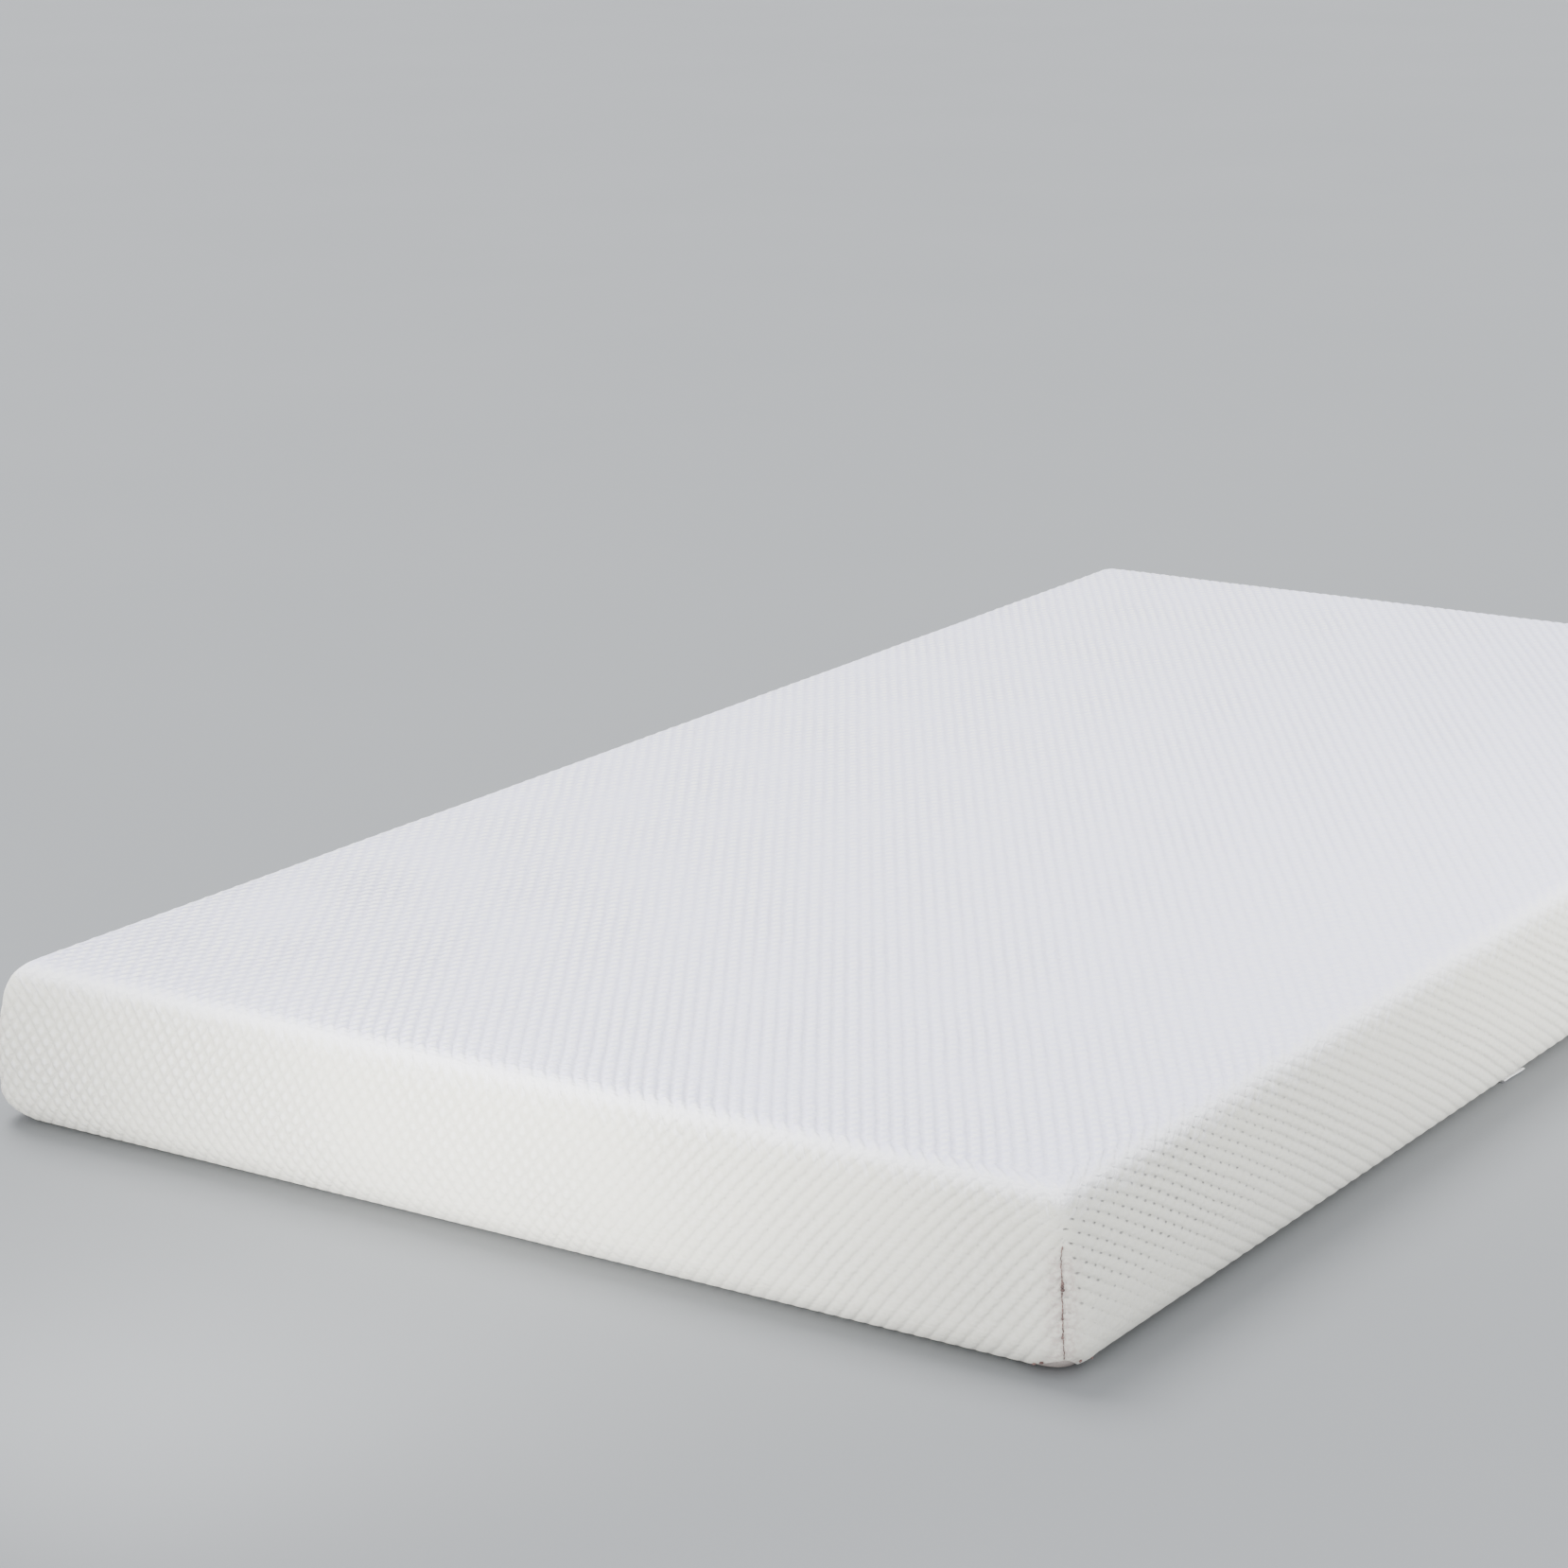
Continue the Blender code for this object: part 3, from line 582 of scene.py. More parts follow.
def metal_look():
    """Die-cast zinc, tumbled smooth, with fine scratches and a few duller spots."""
    nodes = Nodes("zip metal")
    place = nodes.place()
    stretch = nodes.add("ShaderNodeMapping")
    stretch.inputs["Scale"].default_value = (0.15, 1.0, 1.0)
    nodes.put(stretch.inputs["Vector"], place)
    scratch = nodes.noise(stretch.outputs[0], 2600.0, detail=3.0)
    spots = nodes.noise(place, 420.0, detail=3.0)
    nodes.bump(nodes.sum((scratch, 0.5), (spots, 0.6)), 0.00006)
    colour = nodes.mix(spots, (0.50, 0.50, 0.52), (0.74, 0.74, 0.76))
    return nodes.finish(colour, nodes.sum((scratch, 0.22), (spots, 0.30)), 0.0, 0.5, 0.95)


# Shape of the cover

def section_line(top_radius, bottom_radius, last_turn, count=160):
    """The outer line from the flat top to a place on the round bottom edge: arc length, inset and height."""
    lean_top = HEIGHT - top_radius * (1 - math.sin(LEAN_ANGLE))
    lean_height = lean_top - LEAN_START
    lean_depth = lean_height * math.tan(LEAN_ANGLE) / LEAN_POWER
    centre_inset = lean_depth + top_radius * math.cos(LEAN_ANGLE)
    angle = np.linspace(math.pi / 2, LEAN_ANGLE, count)
    share = np.linspace(1.0, 0.0, count)[1:]
    drop = (LEAN_START - bottom_radius) * np.linspace(0.0, 1.0, 20)[1:]
    turn = np.linspace(0.0, last_turn, count)[1:]
    inset = np.concatenate([
        centre_inset - top_radius * np.cos(angle),
        lean_depth * share ** LEAN_POWER,
        np.zeros(len(drop)),
        bottom_radius * (1 - np.cos(turn)),
    ])
    height = np.concatenate([
        HEIGHT - top_radius * (1 - np.sin(angle)),
        LEAN_START + lean_height * share,
        LEAN_START - drop,
        bottom_radius * (1 - np.sin(turn)),
    ])
    arc = np.concatenate([[0.0], np.cumsum(np.hypot(np.diff(inset), np.diff(height)))])
    return arc, inset, height


ARC, INSET, LEVEL = section_line(TOP_EDGE_RADIUS, BOTTOM_EDGE_RADIUS, math.radians(85.0))
TOP_INSET = float(INSET[0])
HALF_X = WIDTH / 2 - TOP_INSET
HALF_Y = LENGTH / 2 - TOP_INSET
BOTTOM_START = float(ARC[-1]) - BOTTOM_EDGE_RADIUS * math.radians(85.0)


def arc_of_turn(turn):
    return BOTTOM_START + BOTTOM_EDGE_RADIUS * turn


def plan_radius(height):
    share = smoothstep(0.0, 1.0, (HEIGHT - height) / (HEIGHT - PLAN_RADIUS_HEIGHT))
    return TOP_PLAN_RADIUS + (PLAN_RADIUS - TOP_PLAN_RADIUS) * share


def ring_place(sign_x, sign_y, inset, radius, distance, short_side, reference=TOP_INSET):
    """Points on rounded rectangles, at a distance from the nearest corner seam.

    The distance is measured on a sharp rectangle at the reference inset. short_side is true where a
    point lies on one of the two short sides.
    """
    turn = np.where(sign_x > 0, RIGHT_SEAM_TURN, LEFT_SEAM_TURN)
    own_turn = np.where(short_side, math.pi / 2 - turn, turn)
    extra = (reference - inset) - radius * (1.0 - own_turn)
    reach = distance + extra * (1.0 - np.exp(-distance / FLARE_FADE))
    swing = np.minimum(reach, radius * own_turn) / np.maximum(radius, 1e-9)
    angle = np.where(short_side, turn + swing, turn - swing)
    straight = np.maximum(reach - radius * own_turn, 0.0)
    x = WIDTH / 2 - inset - radius + radius * np.cos(angle) - np.where(short_side, straight, 0.0)
    y = LENGTH / 2 - inset - radius + radius * np.sin(angle) - np.where(short_side, 0.0, straight)
    return sign_x * x, sign_y * y, reach, extra


def grid_lines(half, step, fine_step, fine_reach):
    """Symmetric grid lines, closer together near both ends."""
    count = max(int(round((half - fine_reach) / step)), 1)
    middle = np.linspace(0.0, half - fine_reach, count + 1)
    fine_count = max(int(round(fine_reach / fine_step)), 1)
    fine = half - fine_reach + np.linspace(0.0, fine_reach, fine_count + 1)[1:]
    positive = np.concatenate([middle[1:], fine])
    return np.concatenate([-positive[::-1], [0.0], positive])


class Wrap:
    """A cloth that covers the top on a grid and runs down the four sides in rows, split at the corners."""

    def __init__(self, lines_x, lines_y, rows):
        self.lines_x, self.lines_y = lines_x, lines_y
        nx, ny = len(lines_x), len(lines_y)
        self.top_count = nx * ny
        grid_x, grid_y = np.meshgrid(lines_x, lines_y, indexing="ij")
        self.grid_x, self.grid_y = grid_x.ravel(), grid_y.ravel()
        self.border = grid_rim(nx, ny)
        self.bx, self.by = self.grid_x[self.border], self.grid_y[self.border]
        self.count = len(self.border)
        self.starts = [0, nx - 1, nx + ny - 2, 2 * nx + ny - 3, self.count]
        self.rows = rows
        self.after = np.roll(np.arange(self.count), -1)
        self.panel = np.searchsorted(self.starts, np.arange(self.count), side="right")
        self.short = np.isclose(np.abs(self.by), np.abs(lines_y[0]))
        to_side_x = np.abs(lines_x[0]) - np.abs(self.bx)
        to_side_y = np.abs(lines_y[0]) - np.abs(self.by)
        self.distance = np.where(self.short, to_side_x, to_side_y)
        self.sign_x = np.where(self.bx >= 0, 1.0, -1.0)
        self.sign_y = np.where(self.by >= 0, 1.0, -1.0)
        rings = [self.border] + [self.top_count + k * self.count + np.arange(self.count) for k in range(rows)]
        quads = [grid_quads(nx, ny)]
        for upper, lower in zip(rings, rings[1:]):
            quads.append(np.stack([upper, lower, lower[self.after], upper[self.after]], axis=-1))
        self.rings = rings
        self.quads = np.concatenate(quads)

    def end_turn(self):
        """How far round the bottom edge the cover reaches at each place."""
        turn = np.full(self.count, EDGE_TURN)
        left = (self.panel == 4) * smoothstep(0.016, 0.042, self.distance)
        turn = turn + (LEFT_EDGE_TURN - EDGE_TURN) * left
        front = (self.sign_x > 0) & (self.sign_y < 0)
        width = np.where(self.short, 0.018, 0.013)
        return turn + (FRONT_CORNER_TURN - EDGE_TURN) * front * bell(self.distance, width)

    def ring(self, inset, height):
        """The points of one row of the sides, how far each lies from its corner seam, and the flare there."""
        x, y, reach, extra = ring_place(
            self.sign_x, self.sign_y, inset, plan_radius(height), self.distance, self.short
        )
        x = np.where(self.bx == 0, 0.0, x)
        y = np.where(self.by == 0, 0.0, y)
        return np.stack([x, y, np.broadcast_to(height, x.shape)], axis=-1), reach, extra

    def lay(self):
        """Positions and arc lengths of all points, how far each lies from its corner seam, and the flares."""
        edge_x = HALF_X - np.abs(self.grid_x)
        edge_y = HALF_Y - np.abs(self.grid_y)
        depth = np.minimum(edge_x, edge_y)
        sign_x = np.where(self.grid_x >= 0, 1.0, -1.0)
        sign_y = np.where(self.grid_y >= 0, 1.0, -1.0)
        radius = np.maximum(TOP_PLAN_RADIUS - depth, 0.0)
        away = np.abs(edge_x - edge_y)
        inset = TOP_INSET + depth
        x, y, _, _ = ring_place(sign_x, sign_y, inset, radius, away, edge_y <= edge_x, inset)
        x = np.where(self.grid_x == 0, 0.0, x)
        y = np.where(self.grid_y == 0, 0.0, y)
        points = [np.stack([x, y, np.full(len(x), HEIGHT)], axis=-1)]
        arcs = [np.zeros(len(x))]
        reaches = [away + depth]
        extras = []
        ends = arc_of_turn(self.end_turn())
        for k in range(1, self.rows + 1):
            arc = ends * k / self.rows
            inset = np.interp(arc, ARC, INSET)
            height = np.interp(arc, ARC, LEVEL)
            ring, reach, extra = self.ring(inset, height)
            points.append(ring)
            arcs.append(arc)
            reaches.append(reach)
            extras.append(extra)
        return np.concatenate(points), np.concatenate(arcs), np.concatenate(reaches), np.concatenate(extras)

    def cloth(self, arcs, extras):
        """Where each corner of each quad lies in the cloth laid flat, in metres."""
        flat = np.stack([self.grid_x, self.grid_y], axis=-1)
        nx, ny = len(self.lines_x), len(self.lines_y)
        parts = [flat[grid_quads(nx, ny)]]
        arc_rows = np.concatenate([np.zeros((1, self.count)), arcs[self.top_count:].reshape(self.rows, -1)])
        extra_rows = np.concatenate([np.zeros((1, self.count)), extras.reshape(self.rows, -1)])
        flare = smoothstep(0.0, 0.05, arc_rows)
        half_x, half_y = abs(self.lines_x[0]), abs(self.lines_y[0])
        fade = np.exp(-self.distance / FLARE_FADE)
        along_x = self.bx + np.sign(self.bx) * flare * extra_rows * fade
        along_y = self.by + np.sign(self.by) * flare * extra_rows * fade
        for level in range(self.rows):
            for panel in range(1, 5):
                inside = np.arange(self.starts[panel - 1], self.starts[panel])
                pair = np.stack([inside, self.after[inside]], axis=-1)
                is_short = panel in (1, 3)
                outward = 1.0 if panel in (2, 3) else -1.0
                stretch, half = (STRETCH_SHORT, half_y) if is_short else (STRETCH_LONG, half_x)
                sides = []
                for row in (level, level + 1):
                    run = (along_x if is_short else along_y)[row][pair]
                    fall = outward * (half + stretch * arc_rows[row][pair])
                    sides.append(np.stack([run, fall] if is_short else [fall, run], axis=-1))
                upper, lower = sides
                parts.append(np.stack([upper[:, 0], lower[:, 0], lower[:, 1], upper[:, 1]], axis=1))
        return np.concatenate(parts)

    def quad_panels(self):
        nx, ny = len(self.lines_x), len(self.lines_y)
        side = np.tile(self.panel, self.rows)
        return np.concatenate([np.zeros((nx - 1) * (ny - 1), dtype=int), side])

    def column(self, points, corner):
        """The line of points down one corner seam, from the top."""
        place = self.starts[corner]
        return np.array([points[ring[place]] for ring in self.rings])

    def edge(self, points):
        """The closed line of points round the lower edge."""
        return points[self.rings[-1]]


def simulate_puff(frames=22):
    """How far the tight foam pushes the cover out, from a cloth simulation on a coarse copy of it.

    The cloth is sewn down along its lower edge and its corner seams, and clings to the foam elsewhere.
    """
    lines_x, lines_y = (
        grid_lines(half, COARSE_STEP, COARSE_FINE_STEP, COARSE_REACH) for half in (HALF_X, HALF_Y)
    )
    wrap = Wrap(lines_x, lines_y, COARSE_ROWS)
    points, _, reaches, _ = wrap.lay()
    on_side = np.arange(len(points)) >= wrap.top_count
    sewn = on_side & (reaches < 1e-6) & (points[:, 2] < CORNER_SEAM_TOP + 0.01)
    sewn[wrap.rings[-1]] = True
    slack = 1.0 + 0.001 * ripple(points[:, 0], points[:, 1], 0.30, 3)
    loose = points * np.stack([slack, slack, np.ones_like(slack)], axis=-1)
    piece = add_quads("puff trial", loose, wrap.quads)
    held = piece.vertex_groups.new(name="held")
    for chosen, weight in ((~on_side, TOP_HOLD), (on_side, SIDE_HOLD), (sewn, 1.0)):
        held.add(np.flatnonzero(chosen).tolist(), weight, "REPLACE")
    step = piece.modifiers.new("cloth", "CLOTH")
    settings = {
        "quality": 6, "mass": 0.25, "air_damping": 3.0, "vertex_group_mass": "held",
        "tension_stiffness": 40.0, "compression_stiffness": 40.0,
        "shear_stiffness": 20.0, "bending_stiffness": 1.5,
        "use_pressure": True, "uniform_pressure_force": 0.4,
    }
    for key, value in settings.items():
        setattr(step.settings, key, value)
    step.settings.effector_weights.gravity = 0.0
    step.point_cache.frame_start = 1
    step.point_cache.frame_end = frames
    scene = bpy.context.scene
    for number in range(1, frames + 1):
        scene.frame_set(number)
    found = piece.evaluated_get(bpy.context.evaluated_depsgraph_get()).to_mesh()
    settled = np.empty(3 * len(points), dtype=np.float32)
    found.vertices.foreach_get("co", settled)
    scene.frame_set(1)
    bpy.data.objects.remove(piece)
    return wrap, settled.reshape(-1, 3) - points


def spread_push(coarse, push, fine):
    """Carry a push from the coarse wrap's points to the fine wrap's, by their places in the cloth."""
    nx, ny = len(coarse.lines_x), len(coarse.lines_y)

    def shares(lines, values):
        low = np.clip(np.searchsorted(lines, values, side="right") - 1, 0, len(lines) - 2)
        return low, np.clip((values - lines[low]) / (lines[low + 1] - lines[low]), 0.0, 1.0)

    i, a = shares(coarse.lines_x, fine.grid_x)
    j, b = shares(coarse.lines_y, fine.grid_y)
    top = push[:nx * ny].reshape(nx, ny, 3)
    a, b = a[:, None], b[:, None]
    nearer = top[i, j] * (1 - a) + top[i + 1, j] * a
    farther = top[i, j + 1] * (1 - a) + top[i + 1, j + 1] * a
    whole = [nearer * (1 - b) + farther * b]

    def round_place(wrap):
        """Distance round the top's ring from the near left corner, as a growing number."""
        x, y = wrap.bx + HALF_X, wrap.by + HALF_Y
        return np.select(
            [wrap.panel == 1, wrap.panel == 2, wrap.panel == 3],
            [x, 2 * HALF_X + y, 2 * HALF_Y + 4 * HALF_X - x],
            4 * HALF_X + 4 * HALF_Y - y,
        )

    coarse_place = np.append(round_place(coarse), 4 * (HALF_X + HALF_Y))
    i, a = shares(coarse_place, round_place(fine))
    a = a[:, None]
    rows = np.stack([push[ring] for ring in coarse.rings])
    rows = np.concatenate([rows, rows[:, :1]], axis=1)
    for k in range(1, fine.rows + 1):
        level = k * coarse.rows / fine.rows
        low = min(int(level), coarse.rows - 1)
        b = level - low
        row = rows[low] * (1 - b) + rows[low + 1] * b
        whole.append(row[i] * (1 - a) + row[i + 1] * a)
    return np.concatenate(whole)


def rib_weights(wrap, points, arcs, reaches):
    """How deep the ribs of each family lie, at each corner of each quad."""
    quads = wrap.quads
    panel = wrap.quad_panels()[:, None]
    x, y = points[quads][..., 0], points[quads][..., 1]
    arc, reach = arcs[quads], reaches[quads]
    near = smoothstep(-0.1, -0.8, y)
    left = smoothstep(0.20, -0.35, x)
    top_a = (1.10 - 0.08 * smoothstep(0.7, 0.2, y) + 0.20 * near) * (1.0 - 0.30 * left * near)
    top_b = (0.32 + 0.85 * left) * (0.78 + 0.55 * near)
    top_a = top_a * (1.0 - 0.45 * smoothstep(0.15, 0.45, x) * smoothstep(-0.85, -0.40, y))
    middle = bell(x - 0.02, 0.28)
    near_a = (1.30 - 0.95 * smoothstep(0.05, 0.32, x)) * (1.0 - 0.35 * middle)
    near_b = (1.30 - 0.15 * smoothstep(0.15, 0.40, x)) * (1.0 - 0.35 * middle)
    corner_near = smoothstep(-0.60, -0.90, y)
    right_a = np.full(x.shape, 0.22)
    right_b = 1.05 - 0.10 * corner_near - 0.65 * corner_near * smoothstep(0.075, 0.115, arc)
    side_a = np.select([panel == 1, panel == 2], [near_a, right_a], 0.75)
    side_b = np.select([panel == 1, panel == 2], [near_b, right_b], 0.75)
    side = smoothstep(0.008, 0.024, arc) * (panel > 0)
    calm = 1.0 - 0.55 * bell(arc - 0.016, 0.008) * (panel > 0)
    calm = calm * (1.0 - 0.45 * smoothstep(0.095, 0.150, arc))
    calm = calm * (1.0 - 0.75 * bell(reach, 0.022) * bell(arc - 0.032, 0.016) * (panel > 0))
    calm = calm * (1.0 - 0.5 * bell(reach, 0.012) * (panel > 0))
    uneven = 1.0 + 0.16 * ripple(x, y + points[quads][..., 2], 0.16, 11)
    weight_a = (top_a + (side_a - top_a) * side) * calm * uneven
    weight_b = (top_b + (side_b - top_b) * side) * calm * uneven
    return weight_a, weight_b


def corner_shape(wrap, points, arcs, reaches):
    """Move the points at the corners: fuller cloth, pressed seams, puckers and the slack front corner."""
    moved = points.copy()
    side = slice(wrap.top_count, None)
    place = np.tile(np.arange(wrap.count), wrap.rows)
    sign_x, sign_y = wrap.sign_x[place], wrap.sign_y[place]
    arc, reach = arcs[side], reaches[side]
    height = points[side][:, 2]
    diagonal = unit(np.stack([sign_x, sign_y, np.zeros(len(sign_x))], axis=-1))
    front_left = (sign_x < 0) & (sign_y < 0)
    front_right = (sign_x > 0) & (sign_y < 0)
    full = CORNER_FULLNESS * bell(reach, 0.045)
    full = full * smoothstep(0.035, 0.070, height) * smoothstep(HEIGHT, 0.112, height)
    on_short = wrap.short[place]
    slack = CORNER_SLACK * bell(reach, np.where(on_short, 0.012, 0.022)) * smoothstep(0.034, 0.006, height)
    groove_depth = SEAM_DEPTH * bell(reach, 0.0024)
    groove_depth = groove_depth * smoothstep(CORNER_SEAM_TOP + 0.008, CORNER_SEAM_TOP - 0.004, height)
    band = np.where(on_short, smoothstep(0.0135, 0.0115, reach), smoothstep(0.009, 0.005, reach))
    band = band * smoothstep(CORNER_SEAM_TOP, CORNER_SEAM_TOP - 0.015, height)
    ribs = 0.00045 * band * np.sin(2 * math.pi * arc / PUCKER_PITCH + 1.5 * np.sin(arc * 190.0))
    lift = 0.0005 * band * on_short
    out = full * front_left - groove_depth + (ribs + lift) * np.where(front_right, 1.0, 0.6)
    moved[side] += diagonal * out[:, None]
    moved[side] += np.array([0.93, -0.36, 0.0]) * (slack * front_right)[:, None]
    return moved


def make_cover():
    step_x = HALF_X / int(HALF_X * POINTS_PER_RIB * RIB_ACROSS)
    step_y = 1.0 / (POINTS_PER_RIB * RIB_ALONG)
    lines_x, lines_y = (
        grid_lines(half, step, FINE_STEP, FINE_REACH) for half, step in ((HALF_X, step_x), (HALF_Y, step_y))
    )
    wrap = Wrap(lines_x, lines_y, COVER_ROWS)
    points, arcs, reaches, extras = wrap.lay()
    cloth = wrap.cloth(arcs, extras)
    weight_a, weight_b = rib_weights(wrap, points, arcs, reaches)
    shaped = corner_shape(wrap, points, arcs, reaches)
    cover = add_quads("cover_knit_cloth", shaped, wrap.quads)
    normals = vertex_normals(cover.data)
    coarse, push = simulate_puff()
    out = np.sum(spread_push(coarse, push, wrap) * normals, axis=1)
    out = np.clip(out, -0.0005, PUFF_LIMIT) * smoothstep(0.150, 0.105, arcs)
    out = out * (1.0 - 0.88 * smoothstep(0.4, 0.8, -normals[:, 0]))
    shaped = shaped + normals * out[:, None]

    phase_a = RIB_ACROSS * cloth[..., 0] + RIB_ALONG * cloth[..., 1]
    phase_b = RIB_ACROSS * cloth[..., 0] - RIB_ALONG * cloth[..., 1]
    relief = weight_a * (np.abs(np.sin(np.pi * phase_a)) - 0.6)
    relief = relief + weight_b * (np.abs(np.sin(np.pi * phase_b)) - 0.6)
    total = np.bincount(wrap.quads.ravel(), relief.ravel(), len(points))
    uses = np.bincount(wrap.quads.ravel(), minlength=len(points))
    shaped = shaped + normals * (RELIEF * total / uses)[:, None]
    shaped[:, 2] = np.maximum(shaped[:, 2], COVER_CLEARANCE)
    cover.data.vertices.foreach_set("co", shaped.astype(np.float32).ravel())
    cover.data.update()

    arc, reach = arcs[wrap.quads], reaches[wrap.quads]
    panel = wrap.quad_panels()[:, None]
    _, y, z = np.moveaxis(shaped[wrap.quads], -1, 0)
    seam = smoothstep(CORNER_SEAM_TOP + 0.004, CORNER_SEAM_TOP - 0.012, z) * (panel > 0)
    pucker = seam * smoothstep(0.020, 0.004, reach) * smoothstep(0.012, 0.060, arc)
    # dimples: where the dimples lie deep; they get bump and painted shade
    right_dimples = 0.20 + 0.80 * smoothstep(-0.50, -0.80, y)
    dimples = np.select([panel == 0, panel == 2], [0.0, right_dimples], 0.16)
    dimples = dimples * smoothstep(0.130, 0.075, arc) * smoothstep(0.012, 0.022, arc)
    # topness: share of the top; it mixes the painted cool top tint with the painted warm side tint, and
    # scales the crowns and courses
    topness = 1.0 - smoothstep(0.011, 0.024, arc)
    serration = 0.0034 * np.sin(2 * math.pi * phase_a)
    # rim: the band round the rounded top edge; it carries the nap bump and a painted highlight
    rim = bell(arc - 0.0165 - serration, 0.0078) * (panel > 0)
    stroke = smoothstep(0.012, 0.020, arc) * smoothstep(0.046, 0.024, arc) * (panel > 0)
    set_uv(cover.data, "cloth", cloth)
    for name, first, second in (
        ("weights", weight_a, weight_b),
        ("marks", pucker, dimples),
        ("tones", topness, rim),
        ("strokes", stroke, np.zeros(stroke.shape)),
    ):
        set_uv(cover.data, name, np.stack([first, second], axis=-1))
    dress(cover, knit_look(), BODY, "cover_knit", "knitted_cover")
    return cover, wrap, shaped


# Seams of the cover

def make_corner_seams(wrap, points):
    """A thin dark lockstitch line down each corner, with a pinned head, a gathered patch and a few knots."""
    dark = thread_look("corner seam thread", (0.30, 0.19, 0.17), (0.06, 0.045, 0.045), patch=130.0)
    names = ("front_left", "front_right", "back_right", "back_left")
    signs = ((-1, -1), (1, -1), (1, 1), (-1, 1))
    for corner, (name, (sign_x, sign_y)) in enumerate(zip(names, signs)):
        line = wrap.column(points, corner)
        fine = resample(line, np.linspace(0.0, path_length(line), 700))
        fine = fine[(fine[:, 2] < CORNER_SEAM_TOP) & (fine[:, 2] > CORNER_SEAM_BOTTOM)]
        outward = unit(np.array([sign_x * 0.6, sign_y * 0.8, 0.0]))
        sideways = np.array([-sign_x * 0.8, sign_y * 0.6, 0.0])
        bow = bell(fine[:, 2:3] - CORNER_SEAM_TOP + 0.010, 0.009)
        fine = fine + sideways * 0.0012 * bow + outward * 0.0005
        total = path_length(fine)
        spots = np.arange(0.0, total - STITCH_PITCH, STITCH_PITCH)
        spots = spots + random.uniform(-0.0004, 0.0004, len(spots))
        spots = np.clip(spots, 0.0, total - 0.003)
        drop = spots / total
        size = SEAM_THREAD + sum(extra * bell(drop - place, spread) for place, extra, spread in KNOTS)
        size = size * random.uniform(0.75, 1.20, len(spots))
        sway = sideways * random.uniform(-0.0003, 0.0003, (len(spots), 1))
        origin = resample(fine, np.array(GATHERS) * total) - outward * 0.0002
        run = np.array([0.12 * sign_x, -0.99 * sign_y, 0.0])
        starts = np.concatenate([resample(fine, spots) + sway, origin])
        ends = np.concatenate([resample(fine, spots + 0.0029) + sway, origin + run * 0.0055])
        size = np.concatenate([size, np.full(len(GATHERS), 0.00022)])
        piece = capsules(f"seam_stitches_{name}", starts, ends, size, outward[None] * size[:, None] * 0.8)
        dress(piece, dark, BODY, "corner_thread", f"corner_seam_{name}")


def make_edge_seam(wrap, points):
    """Overlocking that joins the knit to the border, round the near, right and far sides."""
    edge = wrap.edge(points)
    x, y = edge[:, 0], edge[:, 1]
    keep = ~((x < -WIDTH / 2 + 0.045) & (np.abs(y) < LENGTH / 2 - HOOK))
    first = int(np.flatnonzero(keep & ~np.roll(keep, 1))[0])
    order = (first + np.arange(int(keep.sum()))) % len(edge)
    path = edge[order]
    middle = np.stack([wrap.sign_x * (WIDTH / 2 - 0.06), wrap.sign_y * (LENGTH / 2 - 0.06)], axis=-1)[order]
    outward = np.zeros_like(path)
    outward[:, :2] = path[:, :2] - np.clip(path[:, :2], -np.abs(middle), np.abs(middle))
    outward = unit(outward)
    inward = path - outward * 0.0012
    inward[:, 2] = np.maximum(path[:, 2] + 0.0006, 0.0016)
    look = thread_look("edge overlocking thread", (0.40, 0.33, 0.30), (0.16, 0.13, 0.12))
    facing = outward * 0.4 - np.array([0.0, 0.0, 0.6])
    piece = overlock("edge_overlocking", inward, facing, 0.00028, 0.0016, 0.0009)
    dress(piece, look, BODY, "edge_thread", "base_edge_seam")


def make_thread_ends(wrap, points):
    """The dark ends of the gathered thread at the front corner: the side, place, turn and radius of each."""
    front = (wrap.sign_x > 0) & (wrap.sign_y < 0)
    spots = []
    for on_short, distance, turn, size in (
        (True, 0.0115, 41.0, 0.0010),
        (True, 0.0150, 47.0, 0.0008),
        (False, 0.0090, 36.0, 0.0009),
        (False, 0.0210, 44.0, 0.0006),
    ):
        near = np.where(front & (wrap.short == on_short), np.abs(wrap.distance - distance), np.inf)
        place = int(np.argmin(near))
        end = arc_of_turn(wrap.end_turn()[place])
        row = min(int(round(wrap.rows * arc_of_turn(math.radians(turn)) / end)), wrap.rows)
        spots.append((points[wrap.rings[row][place]], on_short, size))
    starts, ends, sizes = [], [], []
    for spot, on_short, size in spots:
        run = np.array([1.0, 0.0, 0.25]) if on_short else np.array([0.0, 1.0, 0.15])
        outward = np.array([0.0, -0.8, -0.4]) if on_short else np.array([0.8, 0.0, -0.4])
        starts.append(spot + outward * 0.0009 - run * 0.0018)
        ends.append(spot + outward * 0.0009 + run * 0.0018)
        sizes.append(size)
    look = thread_look("dark thread end", (0.22, 0.12, 0.11), (0.05, 0.03, 0.03), patch=200.0)
    dress(capsules("gathered_thread_ends", starts, ends, np.array(sizes)), look, BODY, "edge_thread")


# Base, border and core

def segment(start, end, count):
    share = np.linspace(0.0, 1.0, count + 1)[:-1, None]
    return np.asarray(start) * (1 - share) + np.asarray(end) * share


def turn_round(centre_x, centre_y, radius, start_degrees, count=10):
    angle = np.radians(start_degrees + np.linspace(0.0, 90.0, count, endpoint=False))
    return np.stack([centre_x + radius * np.cos(angle), centre_y + radius * np.sin(angle)], axis=-1)


def right_radius(inset):
    share = min(max((inset - FRAME_BOTTOM_RADIUS) / (RISE_END_BORDER - FRAME_BOTTOM_RADIUS), 0.0), 1.0)
    inner = ZIP_RADIUS + ZIP_INSET - max(inset, RISE_END_BORDER)
    return PLAN_RADIUS + (inner - PLAN_RADIUS) * share


